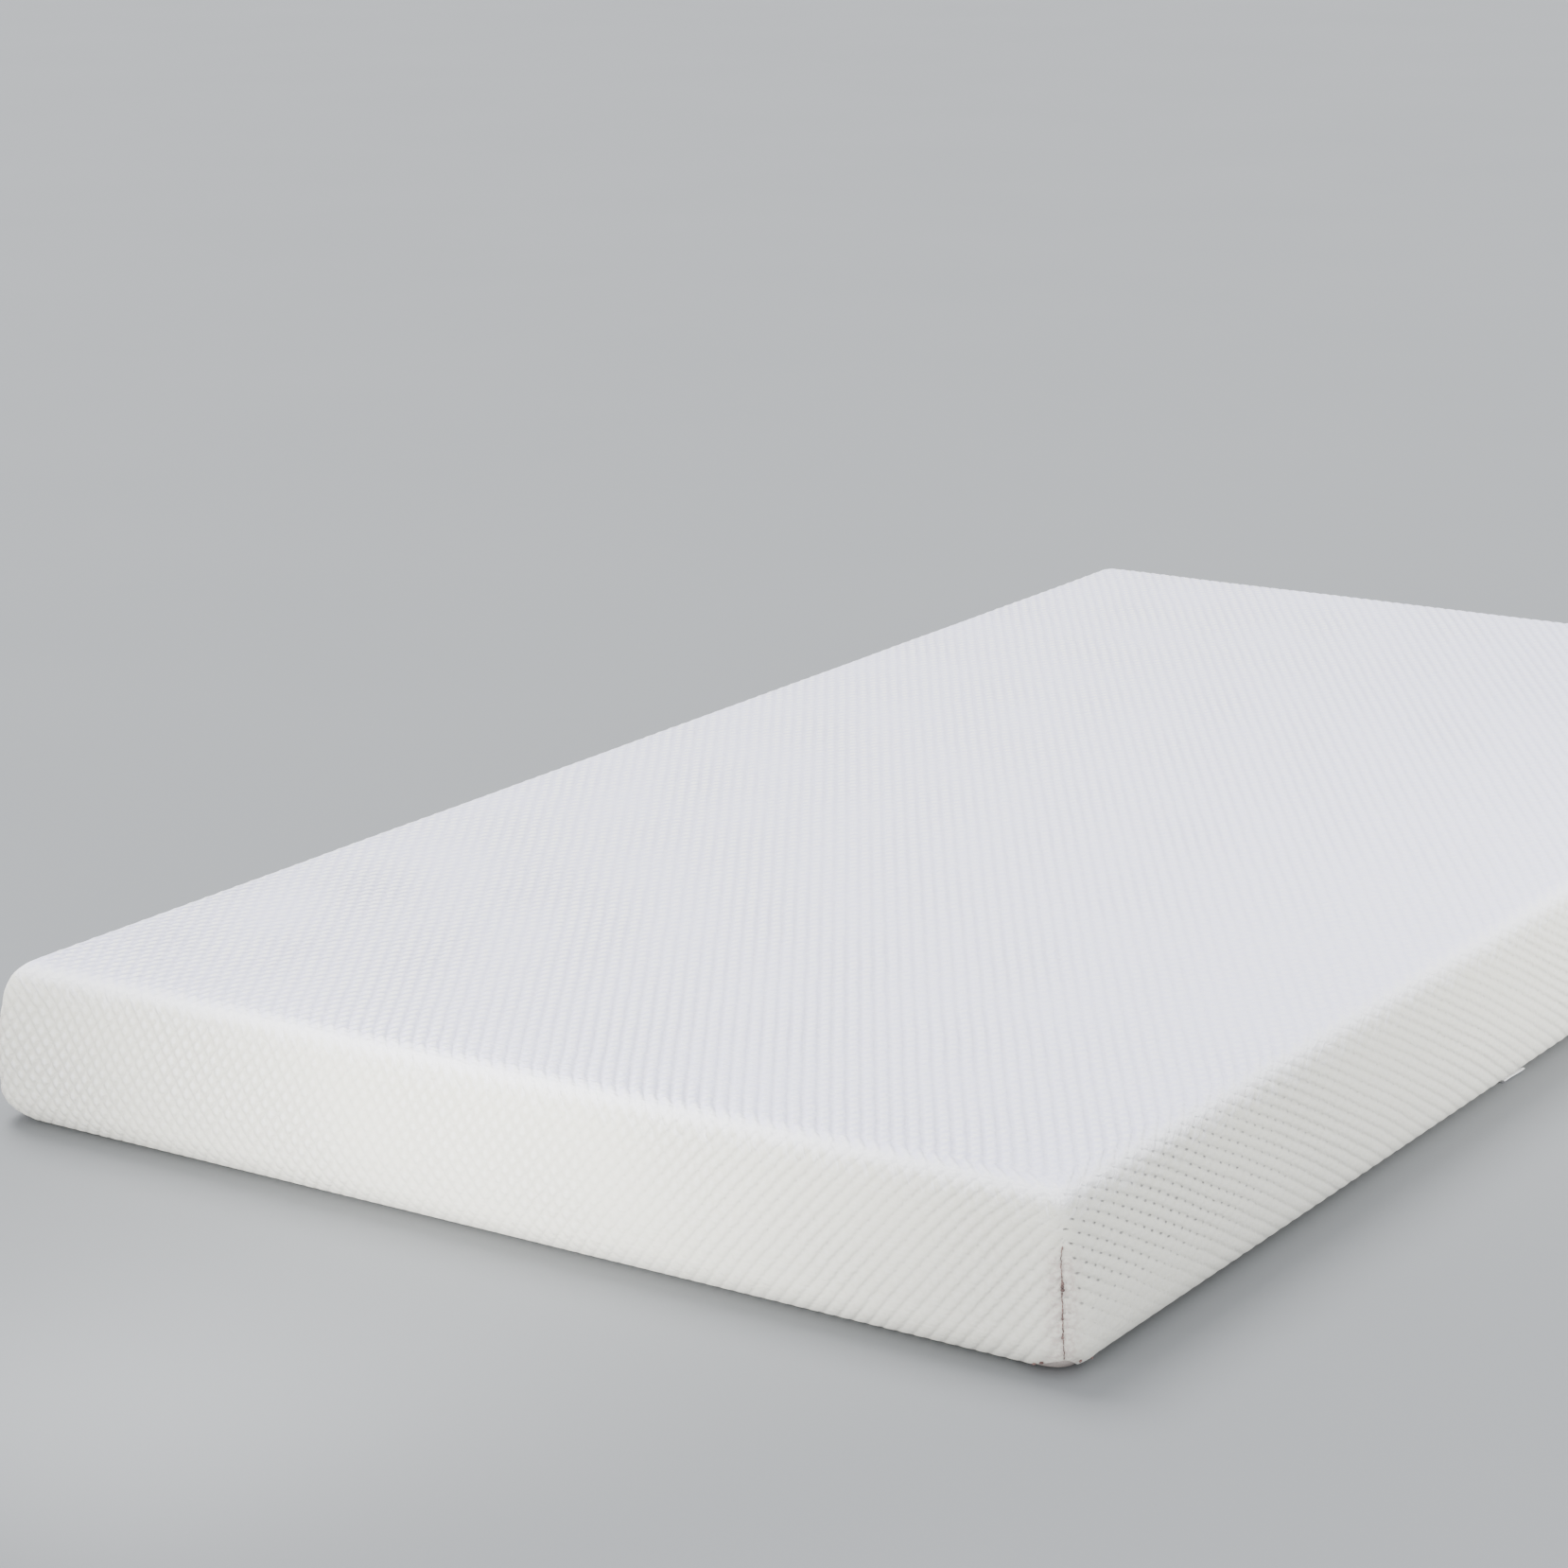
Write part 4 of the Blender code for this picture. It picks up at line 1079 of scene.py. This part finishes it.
def three_sides(inset, near_x, far_x):
    """Along the near short side from near_x, the right long side, and the far short side up to far_x."""
    x, y = WIDTH / 2 - inset, LENGTH / 2 - inset
    radius = right_radius(inset)
    return [
        segment((near_x, -y), (x - radius, -y), 90),
        turn_round(x - radius, -y + radius, radius, -90),
        segment((x, -y + radius), (x, y - radius), 170),
        turn_round(x - radius, y - radius, radius, 0),
        segment((x - radius, y), (far_x, y), 90),
    ]


def hooked_path(inset):
    """Round all four corners, from the near end of the left side to its far end."""
    x, y = WIDTH / 2 - inset, LENGTH / 2 - inset
    radius = PLAN_RADIUS - HOOK_RADIUS_SHRINK * max(inset - FRAME_BOTTOM_RADIUS, 0.0)
    end = LENGTH / 2 - HOOK
    return np.concatenate([
        segment((-x, -end), (-x, -y + radius), 6),
        turn_round(-x + radius, -y + radius, radius, 180),
        *three_sides(inset, -x + radius, -x + radius),
        turn_round(-x + radius, y - radius, radius, 90),
        segment((-x, y - radius), (-x, end), 6),
        [(-x, end)],
    ])


def zip_path(inset, near_start, far_end):
    """The zip's run: its ends are given as distances from the left side."""
    near_x, far_x = -WIDTH / 2 + near_start, -WIDTH / 2 + far_end
    return np.concatenate([*three_sides(inset, near_x, far_x), [(far_x, LENGTH / 2 - inset)]])


def at_height(path, height):
    return np.column_stack([path, np.full(len(path), height)])


def bottom_arc(start, end, count):
    turn = np.linspace(start, end, count)
    radius = FRAME_BOTTOM_RADIUS
    return [(radius - radius * math.cos(a), radius - radius * math.sin(a)) for a in turn]


def strip(rows):
    """A grid of points and its quads from rows of equal length."""
    points = np.stack(rows)
    return points.reshape(-1, 3), grid_quads(points.shape[0], points.shape[1])


def make_border():
    """Woven border from the knit's edge, under the rounded bottom, to the zip."""
    tuck = [0.0014, 0.0011, 0.0008, 0.0004, 0.0, 0.0, 0.0, 0.0, 0.0, 0.0, 0.0, 0.0]
    line = [(u + t, z) for (u, z), t in zip(bottom_arc(math.radians(25.0), math.pi / 2, 12), tuck)]
    line += [(RISE_START_BORDER, 0.0), (0.039, 0.0013), (RISE_END_BORDER, RISE_HEIGHT)]
    line += [(0.0445, RISE_HEIGHT), (STITCH_BORDER - 0.0007, RISE_HEIGHT)]
    line += [(STITCH_BORDER, RISE_HEIGHT + 0.0002), (STITCH_BORDER + 0.0007, RISE_HEIGHT)]
    line.append((BORDER_EDGE, RISE_HEIGHT))
    rows = [at_height(hooked_path(inset), height) for inset, height in line]
    points, quads = strip(rows)
    from_right, from_near = WIDTH / 2 - points[:, 0], LENGTH / 2 + points[:, 1]
    push = BORDER_PUSH * smoothstep(0.024, 0.011, points[:, 2])
    push = push * bell(np.maximum(from_right - 0.020, 0.0), 0.014)
    push = push * bell(np.maximum(from_near - 0.014, 0.0), 0.018)
    foot = BORDER_FOOT * smoothstep(0.0070, 0.0015, points[:, 2])
    push = push + foot * bell(from_right - 0.036, 0.022) * bell(from_near - 0.031, 0.022)
    points[:, 0] += 0.85 * push
    points[:, 1] -= 0.52 * push
    wave = 0.00012 * ripple(points[:, 0], points[:, 1], 0.035, 21)
    points[:, 2] = np.maximum(points[:, 2] + wave, np.minimum(points[:, 2], 0.0001))
    points, quads = thicken(points, quads, CLOTH_THICKNESS)
    piece = add_quads("border_cloth", points, quads)
    look = weave_look("border weave", (0.64, 0.565, 0.525), (0.40, 0.34, 0.32), 0.0011)
    dress(piece, look, BODY, "border_cloth", "base_border")
    return piece


def round_right_corners(x, y, right, reach):
    """Move the points of a flat grid so that both its right corners are round, by less further inside."""
    depth_x, depth_y = right - x, reach - np.abs(y)
    on_short = depth_y <= depth_x
    depth = np.minimum(depth_x, depth_y)
    radius = np.maximum(right_radius(PANEL_EDGE) - depth, 0.0)
    along = np.abs(depth_x - depth_y)
    swing = np.minimum(along / np.maximum(radius * math.pi / 4, 1e-9), 1.0) * math.pi / 4
    near_corner = (along < radius * math.pi / 4) & (radius > 0)
    turn = np.where(on_short, math.pi / 4 + swing, math.pi / 4 - swing)
    round_x = right - depth - radius + radius * np.cos(turn)
    round_y = reach - depth - radius + radius * np.sin(turn)
    squeeze = radius * (1 - math.pi / 4) * smoothstep(0.10, 0.0, along)
    straight_x = np.where(on_short, x - squeeze, x)
    straight_y = np.where(on_short, np.abs(y), np.abs(y) - squeeze)
    round_y = np.where(near_corner, round_y, straight_y)
    return np.where(near_corner, round_x, straight_x), np.sign(y) * round_y


def make_panel():
    """Woven base panel: flat, raised to the zip on three sides and curled up to the hinge seam."""
    left = -WIDTH / 2 + BORDER_EDGE + 0.0003
    right = WIDTH / 2 - PANEL_EDGE
    reach = LENGTH / 2 - PANEL_EDGE
    inner = LENGTH / 2 - RISE_START_PANEL
    rim = np.array([0.0, 0.002, 0.004, 0.0055, RISE_CREST, 0.0095, 0.0115, 0.0135, RISE_FOOT])
    lines_x = np.concatenate([np.linspace(left, right - RISE_FOOT, 100)[:-1], right - rim[::-1]])
    half = np.concatenate([np.linspace(0.0, inner, 160)[:-1], reach - rim[::-1]])
    lines_y = np.concatenate([-half[:0:-1], half])
    x, y = np.meshgrid(lines_x, lines_y, indexing="ij")
    depth = np.minimum(right - x, reach - np.abs(y))
    x, y = round_right_corners(x, y, right, reach)
    height = RISE_HEIGHT * smoothstep(RISE_FOOT, RISE_CREST, depth)
    height = height + 0.00010 * (1 + ripple(x, y, 0.05, 5)) * smoothstep(0.015, 0.03, depth)
    height = height + 0.0002 * bell(depth - (STITCH_PANEL - PANEL_EDGE), 0.0008)
    main = np.stack([x, y, height], axis=-1).reshape(-1, 3)
    quads = grid_quads(len(lines_x), len(lines_y))

    inside = np.flatnonzero(np.abs(lines_y) <= inner + 1e-9)
    curl = bottom_arc(math.pi / 2, BORDER_START, 9)
    one = np.ones(len(inside))
    rows = [np.column_stack([(u - WIDTH / 2) * one, lines_y[inside], z * one]) for u, z in curl]
    extra = np.stack(rows).reshape(-1, 3)
    joined = np.concatenate([inside[None], len(main) + np.arange(len(extra)).reshape(len(curl), -1)])
    quads = np.concatenate([quads[:, ::-1], quads_between(joined)])
    points, quads = thicken(np.concatenate([main, extra]), quads, CLOTH_THICKNESS)
    piece = add_quads("base_panel_cloth", points, quads)
    look = weave_look("base panel weave", (0.78, 0.77, 0.75), (0.55, 0.54, 0.52), 0.0013)
    dress(piece, look, BASE, "base_cloth", "base_panel")
    return piece


def make_wadding():
    """Fibre pad quilted in diamonds."""
    left, right = -WIDTH / 2 + RISE_END_BORDER, WIDTH / 2 - WADDING_EDGE
    reach = LENGTH / 2 - WADDING_EDGE
    low, high = CLOTH_THICKNESS + 0.0003, WADDING_TOP
    nx, ny = 120, 220
    lines_x = np.linspace(left, right, nx)
    lines_y = np.linspace(-reach, reach, ny)
    x, y = np.meshgrid(lines_x, lines_y, indexing="ij")
    depth = np.minimum(np.minimum(x - left, right - x), reach - np.abs(y))
    edge = np.sqrt(np.clip(1.0 - (1.0 - np.clip(depth / 0.018, 0.0, 1.0)) ** 2, 0.0, 1.0))
    quilt_a = np.abs(np.sin(math.pi * (x / 0.14 + y / 0.17)))
    quilt_b = np.abs(np.sin(math.pi * (x / 0.14 - y / 0.17)))
    puff = np.sqrt(np.minimum(quilt_a, quilt_b)) * (0.92 + 0.08 * ripple(x, y, 0.05, 9))
    top = low + (high - low) * edge * (0.30 + 0.70 * np.clip(puff, 0.0, 1.0))
    over = np.stack([x, y, top], axis=-1).reshape(-1, 3)
    under = np.stack([x, y, np.full(x.shape, low)], axis=-1).reshape(-1, 3)
    quads = grid_quads(nx, ny)
    loop = grid_rim(nx, ny)
    beside = np.roll(loop, -1)
    wall = np.stack([loop, loop + len(over), beside + len(over), beside], axis=-1)
    points = np.concatenate([over, under])
    piece = add_quads("quilted_wadding", points, np.concatenate([quads, quads[:, ::-1] + len(over), wall]))
    dress(piece, fibre_look(), BASE, "fibre_pad", "base_wadding")


def core_line(inward, low, high, rows):
    """The core's outer line at a distance inside the cover, between two heights."""
    _, inset, level = section_line(TOP_EDGE_RADIUS, FRAME_BOTTOM_RADIUS, math.radians(89.0), 60)
    way = unit(np.stack([np.gradient(inset), np.gradient(level)], axis=-1))
    inset = inset - way[:, 1] * inward
    level = level + way[:, 0] * inward
    heights = np.linspace(min(high, level[0]), low, rows)
    return np.interp(-heights, -level, inset), heights


def make_block(name, inward, low, high, rows, step, inner_wave=0.0):
    """A rounded block of the core: a top, sides in rows and an underside."""
    insets, heights = core_line(inward, low, high, rows)
    lines_x = grid_lines(HALF_X, step, step / 3, step)
    lines_y = grid_lines(HALF_Y, step, step / 3, step)
    wrap = Wrap(lines_x, lines_y, rows - 1)
    rings = [wrap.ring(inset, height)[0] for inset, height in zip(insets, heights)]
    nx, ny = len(lines_x), len(lines_y)
    top = fill_grid(rings[0], nx, ny)
    bottom = fill_grid(rings[-1], nx, ny)
    if inner_wave:
        short_wave = ripple(bottom[:, 0], bottom[:, 1], 0.09, 31)
        long_wave = ripple(bottom[:, 0], bottom[:, 1] * 0.3, 0.05, 32)
        rise = inner_wave * (1.0 + 0.5 * short_wave + 0.5 * long_wave)
        inside = LENGTH / 2 - 0.03 - np.abs(bottom[:, 1])
        inside = np.minimum(inside, WIDTH / 2 - 0.03 - np.abs(bottom[:, 0]))
        bottom[:, 2] += np.clip(rise, 0.0, 2.0 * inner_wave) * smoothstep(0.0, 0.06, inside)
    points = np.concatenate([top] + rings[1:] + [bottom])
    last = wrap.top_count + (rows - 1) * wrap.count
    quads = np.concatenate([wrap.quads, grid_quads(nx, ny)[:, ::-1] + last])
    lookup = np.arange(len(points))
    lookup[last + wrap.border] = wrap.rings[-1]
    return add_quads(name, points, lookup[quads])


def fill_grid(ring, nx, ny):
    """A grid of points inside a closed ring that runs round the grid's border."""
    near = ring[:nx]
    right = ring[nx - 1:nx + ny - 1]
    far = ring[nx + ny - 2:2 * nx + ny - 2][::-1]
    left = np.concatenate([ring[2 * nx + ny - 3:], ring[:1]])[::-1]
    along = near[:, 0] / np.abs(near[:, 0]).max()
    u = (0.5 + 0.5 * along)[:, None, None]
    across = right[:, 1] / np.abs(right[:, 1]).max()
    v = (0.5 + 0.5 * across)[None, :, None]
    sheet = (1 - v) * near[:, None] + v * far[:, None] + (1 - u) * left[None] + u * right[None]
    sheet = sheet - (1 - v) * ((1 - u) * near[0] + u * near[-1]) - v * ((1 - u) * far[0] + u * far[-1])
    return sheet.reshape(-1, 3)


def make_core():
    inward = CORE_INSET + 0.0004
    joint = HEIGHT - CORE_INSET - MEMORY_THICKNESS
    memory = make_block("memory_foam_slab", inward, joint, HEIGHT - CORE_INSET - 0.0003, 12, 0.03)
    look = foam_look("memory foam", (0.90, 0.87, 0.72), (0.72, 0.66, 0.48), 900.0)
    dress(memory, look, BODY, "memory_foam", "memory_foam_layer")
    support = make_block("support_foam_slab", inward, CORE_BOTTOM, joint - 0.0003, 12, 0.03)
    look = foam_look("support foam", (0.80, 0.83, 0.87), (0.52, 0.56, 0.62), 620.0)
    dress(support, look, BODY, "support_foam", "support_foam_base")
    top = HEIGHT - LINER_INSET
    liner = make_block("liner_stockinette", LINER_INSET, LINER_BOTTOM, top, 16, 0.014, inner_wave=0.0006)
    dress(liner, stockinette_look(), BODY, "stockinette", "inner_liner")
    height = LINER_SEAM_HEIGHT
    wall = LENGTH / 2 - float(np.interp(-height, -LEVEL, INSET)) - LINER_INSET
    along = np.linspace(-LINER_SEAM_HALF_LENGTH, LINER_SEAM_HALF_LENGTH, 60)
    line = np.array([(x, wall + 0.0002, height) for x in along])
    seam = running_stitches("liner_seam_stitches", line, np.array([0.0, 1.0, 0.0]), 0.00035, 0.0032, 0.0012)
    look = thread_look("liner thread", (0.84, 0.83, 0.80), (0.62, 0.60, 0.56))
    dress(seam, look, BODY, "liner_thread", "liner_closing_seam")
    return liner


# Zip

def make_tape(name, inset_a, inset_b, near_start, far_end, body, node):
    """Woven tape with fine lengthwise cords."""
    share = np.linspace(0.0, 1.0, 25)
    cords = 0.00008 * np.abs(np.sin(share * math.pi * 6)) + 0.00012 * (np.abs(share - 0.5) > 0.44)
    rows = [
        at_height(zip_path(inset_a + (inset_b - inset_a) * s, near_start, far_end), TAPE_PLANE + 0.0002 + c)
        for s, c in zip(share, cords)
    ]
    points, quads = strip(rows)
    if inset_b < inset_a:
        quads = quads[:, ::-1]
    points, quads = thicken(points, quads, 0.0005)
    piece = add_quads(name, points, quads)
    look = weave_look(name.replace("_", " "), (0.84, 0.83, 0.80), (0.60, 0.59, 0.56), 0.0006, depth=0.00012)
    dress(piece, look, body, "zip_tape", node)


def make_teeth(name, inset, toward, phase, body, node):
    """Nylon coil: one flattened loop after another, with its head just short of the zip's middle."""
    path = at_height(zip_path(inset, NEAR_COIL_START, FAR_COIL_END), TAPE_PLANE)
    across = at_height(zip_path(inset + 0.001, NEAR_COIL_START, FAR_COIL_END), TAPE_PLANE) - path
    count = int(path_length(path) / TOOTH_PITCH) - 1
    places = (np.arange(count) + phase) * TOOTH_PITCH + 0.0006
    middle = resample(path, places)
    inward = unit(resample(path, places, across))
    way = unit(resample(path, places + 0.0004) - middle)
    head = middle - inward * toward * TOOTH_HEAD
    heel = middle + inward * toward * TOOTH_HEEL
    up = np.array([0.0, 0.0, 0.00075])
    starts = np.concatenate([head - up, head + up, head - up * 1.1])
    ends = np.concatenate([heel - up + way * 0.0003, heel + up - way * 0.0003, head + up * 1.1])
    dress(capsules(name, starts, ends, 0.00036, sides=5, rings=4), nylon_look(), body, "zip_nylon", node)


def make_zip():
    """Two tapes with a row of teeth on each, and the stitches that hold them to the border and the panel."""
    coil_middle = HALF_GAP + COIL_WIDTH / 2
    tape_edge = HALF_GAP + TAPE_OFFSET
    outer_tape = (ZIP_INSET - tape_edge, ZIP_INSET - tape_edge - TAPE_WIDTH)
    inner_tape = (ZIP_INSET + tape_edge, ZIP_INSET + tape_edge + TAPE_WIDTH)
    make_tape("cover_zip_tape", *outer_tape, NEAR_COIL_START, FAR_COIL_END, BODY, "zip_tape_cover")
    make_tape("base_zip_tape", *inner_tape, TAPE_END, TAPE_END, BASE, "zip_tape_base")
    make_teeth("cover_zip_teeth", ZIP_INSET - coil_middle, -1.0, 0.0, BODY, "zip_coil_cover")
    make_teeth("base_zip_teeth", ZIP_INSET + coil_middle, 1.0, 0.5, BASE, "zip_coil_base")
    look = thread_look("zip stitching thread", (0.86, 0.85, 0.82), (0.64, 0.62, 0.58))
    down = np.array([0.0, 0.0, -1.0])
    for name, inset, body, node in (
        ("cover_zip_stitches", STITCH_BORDER, BODY, "zip_stitching_cover"),
        ("base_zip_stitches", STITCH_PANEL, BASE, "zip_stitching_base"),
    ):
        path = at_height(zip_path(inset, NEAR_COIL_START, FAR_COIL_END), RISE_HEIGHT - 0.0001)
        dress(running_stitches(name, path, down, 0.0003, 0.0030, 0.0011), look, body, "zip_thread", node)


def make_hinge_seam():
    """Overlocking along the sewn left side, about which the base panel opens."""
    inset, height = HINGE_LINE
    along = np.linspace(-HINGE_HALF_LENGTH, HINGE_HALF_LENGTH, 400)
    path = np.array([(-WIDTH / 2 + inset, y, height) for y in along])
    outward = np.tile([-0.75, 0.0, -0.66], (len(path), 1))
    hinge = overlock("hinge_overlocking", path, outward, 0.00032, 0.0019, 0.0009)
    look = thread_look("hinge thread", (0.52, 0.46, 0.43), (0.28, 0.24, 0.22))
    dress(hinge, look, BASE, "edge_thread", "hinge_seam")


def plate_metal():
    """The frame's own stops, slider and pull stay as they are and get only a look."""
    metal = metal_look()
    for node in ("zip_end_stop_near", "zip_end_stop_far", "zip_slider", "zip_pull"):
        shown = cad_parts[node]
        shown.data.materials.clear()
        shown.data.materials.append(metal)


def make_label():
    """A blank satin label, folded double, that lies under the right long side with only its fold showing."""
    line = [
        (0.0235, 0.0027), (0.0200, 0.0023), (0.0170, 0.0023), (0.0142, 0.0027), (0.0132, 0.0025),
        (0.0131, 0.0018), (0.0142, 0.0011), (0.0170, 0.0007), (0.0200, 0.0006), (0.0235, 0.0008),
    ]
    lines_y = np.linspace(LABEL_MIDDLE - LABEL_HALF_WIDTH, LABEL_MIDDLE + LABEL_HALF_WIDTH, 33)
    lean = 0.0005 * np.sin((lines_y - LABEL_MIDDLE) * 120.0)
    points, quads = strip([
        at_height(np.column_stack([WIDTH / 2 - inset + lean, lines_y]), height) for inset, height in line
    ])
    points, quads = thicken(points, quads, 0.0004)
    nodes = Nodes("satin label")
    place = nodes.place()
    _, y, z = nodes.split(place)
    fine = nodes.ridge(nodes.sum((y, 1900.0), (z, 300.0)))
    tone = nodes.noise(place, 120.0, detail=2.0)
    nodes.bump(fine, 0.00005)
    colour = nodes.mix(nodes.sum((fine, 0.3), (tone, 0.6)), (0.62, 0.62, 0.64), (0.86, 0.86, 0.87))
    look = nodes.finish(colour, nodes.scale(tone, 0.2, 0.35), 0.0, 0.5)
    dress(add_quads("blank_label", points, quads), look, BODY, "label_satin", "care_label")


# Camera, light and floor

def add_camera():
    level = math.cos(CAMERA_ELEVATION)
    back = Vector((
        math.sin(CAMERA_AZIMUTH) * level,
        -math.cos(CAMERA_AZIMUTH) * level,
        math.sin(CAMERA_ELEVATION),
    ))
    right = (-back).cross(Vector((0.0, 0.0, 1.0))).normalized()
    up = back.cross(right)
    cosine, sine = math.cos(CAMERA_ROLL), math.sin(CAMERA_ROLL)
    axes = (cosine * right - sine * up, cosine * up + sine * right, back)
    data = bpy.data.cameras.new("camera")
    data.lens = FOCAL_LENGTH
    data.sensor_width = SENSOR_WIDTH
    data.clip_end = 200.0
    camera = add_object("camera", data)
    turn = Matrix([axis.to_tuple() for axis in axes]).transposed().to_4x4()
    camera.matrix_world = Matrix.Translation(CAMERA_PLACE) @ turn
    bpy.context.scene.camera = camera


def add_light(name, kind, source, power, colour):
    """A light that shines from the direction of source."""
    data = bpy.data.lights.new(name, kind)
    data.energy = power
    data.color = colour
    light = add_object(name, data)
    light.rotation_euler = Vector(source).to_track_quat("Z", "Y").to_euler()
    return light


def add_sun(name, source, power, spread_degrees, colour):
    """Even, soft light from one direction."""
    add_light(name, "SUN", source, power, colour).data.angle = math.radians(spread_degrees)


def add_panel_light(name, place, source, size, power):
    """A soft rectangular light."""
    light = add_light(name, "AREA", source, power, (1.0, 0.99, 0.97))
    light.location = place
    light.data.shape = "RECTANGLE"
    light.data.size, light.data.size_y = size
    light.data.spread = math.radians(78.0)


def add_studio():
    world = bpy.data.worlds.new("studio")
    world.use_nodes = True
    background = world.node_tree.nodes["Background"]
    background.inputs[0].default_value = (0.95, 0.97, 1.0, 1.0)
    background.inputs[1].default_value = 1.6
    bpy.context.scene.world = world
    add_sun("key", (-0.75, 0.45, 1.35), 4.7, 28.0, (1.0, 1.0, 1.0))
    add_sun("front", (0.05, -1.0, 0.42), 1.35, 50.0, (1.0, 0.98, 0.94))
    add_sun("right", (1.0, 0.20, 0.38), 0.8, 50.0, (1.0, 0.985, 0.95))
    add_panel_light("low front", (-0.03, -1.72, 0.20), (0.0, -1.0, 0.0), (0.40, 0.20), 4.1)
    add_panel_light("far right", (1.55, 0.25, 0.35), (1.0, 0.12, 0.08), (0.7, 0.25), 4.4)


def add_floor():
    nodes = Nodes("pale floor")
    place = nodes.place()
    tone = nodes.noise(place, 1.5, detail=2.0)
    grain = nodes.noise(place, 300.0, detail=2.0)
    nodes.bump(grain, 0.0001)
    colour = nodes.mix(tone, (0.205, 0.213, 0.222), (0.218, 0.226, 0.235))
    look = nodes.finish(colour, nodes.scale(grain, 0.1, 0.8), 0.0, 0.2)
    half = 40.0
    corners = [(x * half, y * half, -0.0003) for x, y in ((-1, -1), (1, -1), (1, 1), (-1, 1))]
    floor = add_quads("floor", corners, [(0, 1, 2, 3)])
    floor.data.materials.append(look)


cover, wrap, shaped = make_cover()
make_corner_seams(wrap, shaped)
make_edge_seam(wrap, shaped)
make_thread_ends(wrap, shaped)
border = make_border()
panel = make_panel()
make_wadding()
liner = make_core()
make_zip()
make_hinge_seam()
plate_metal()
make_label()
add_camera()
add_studio()
add_floor()
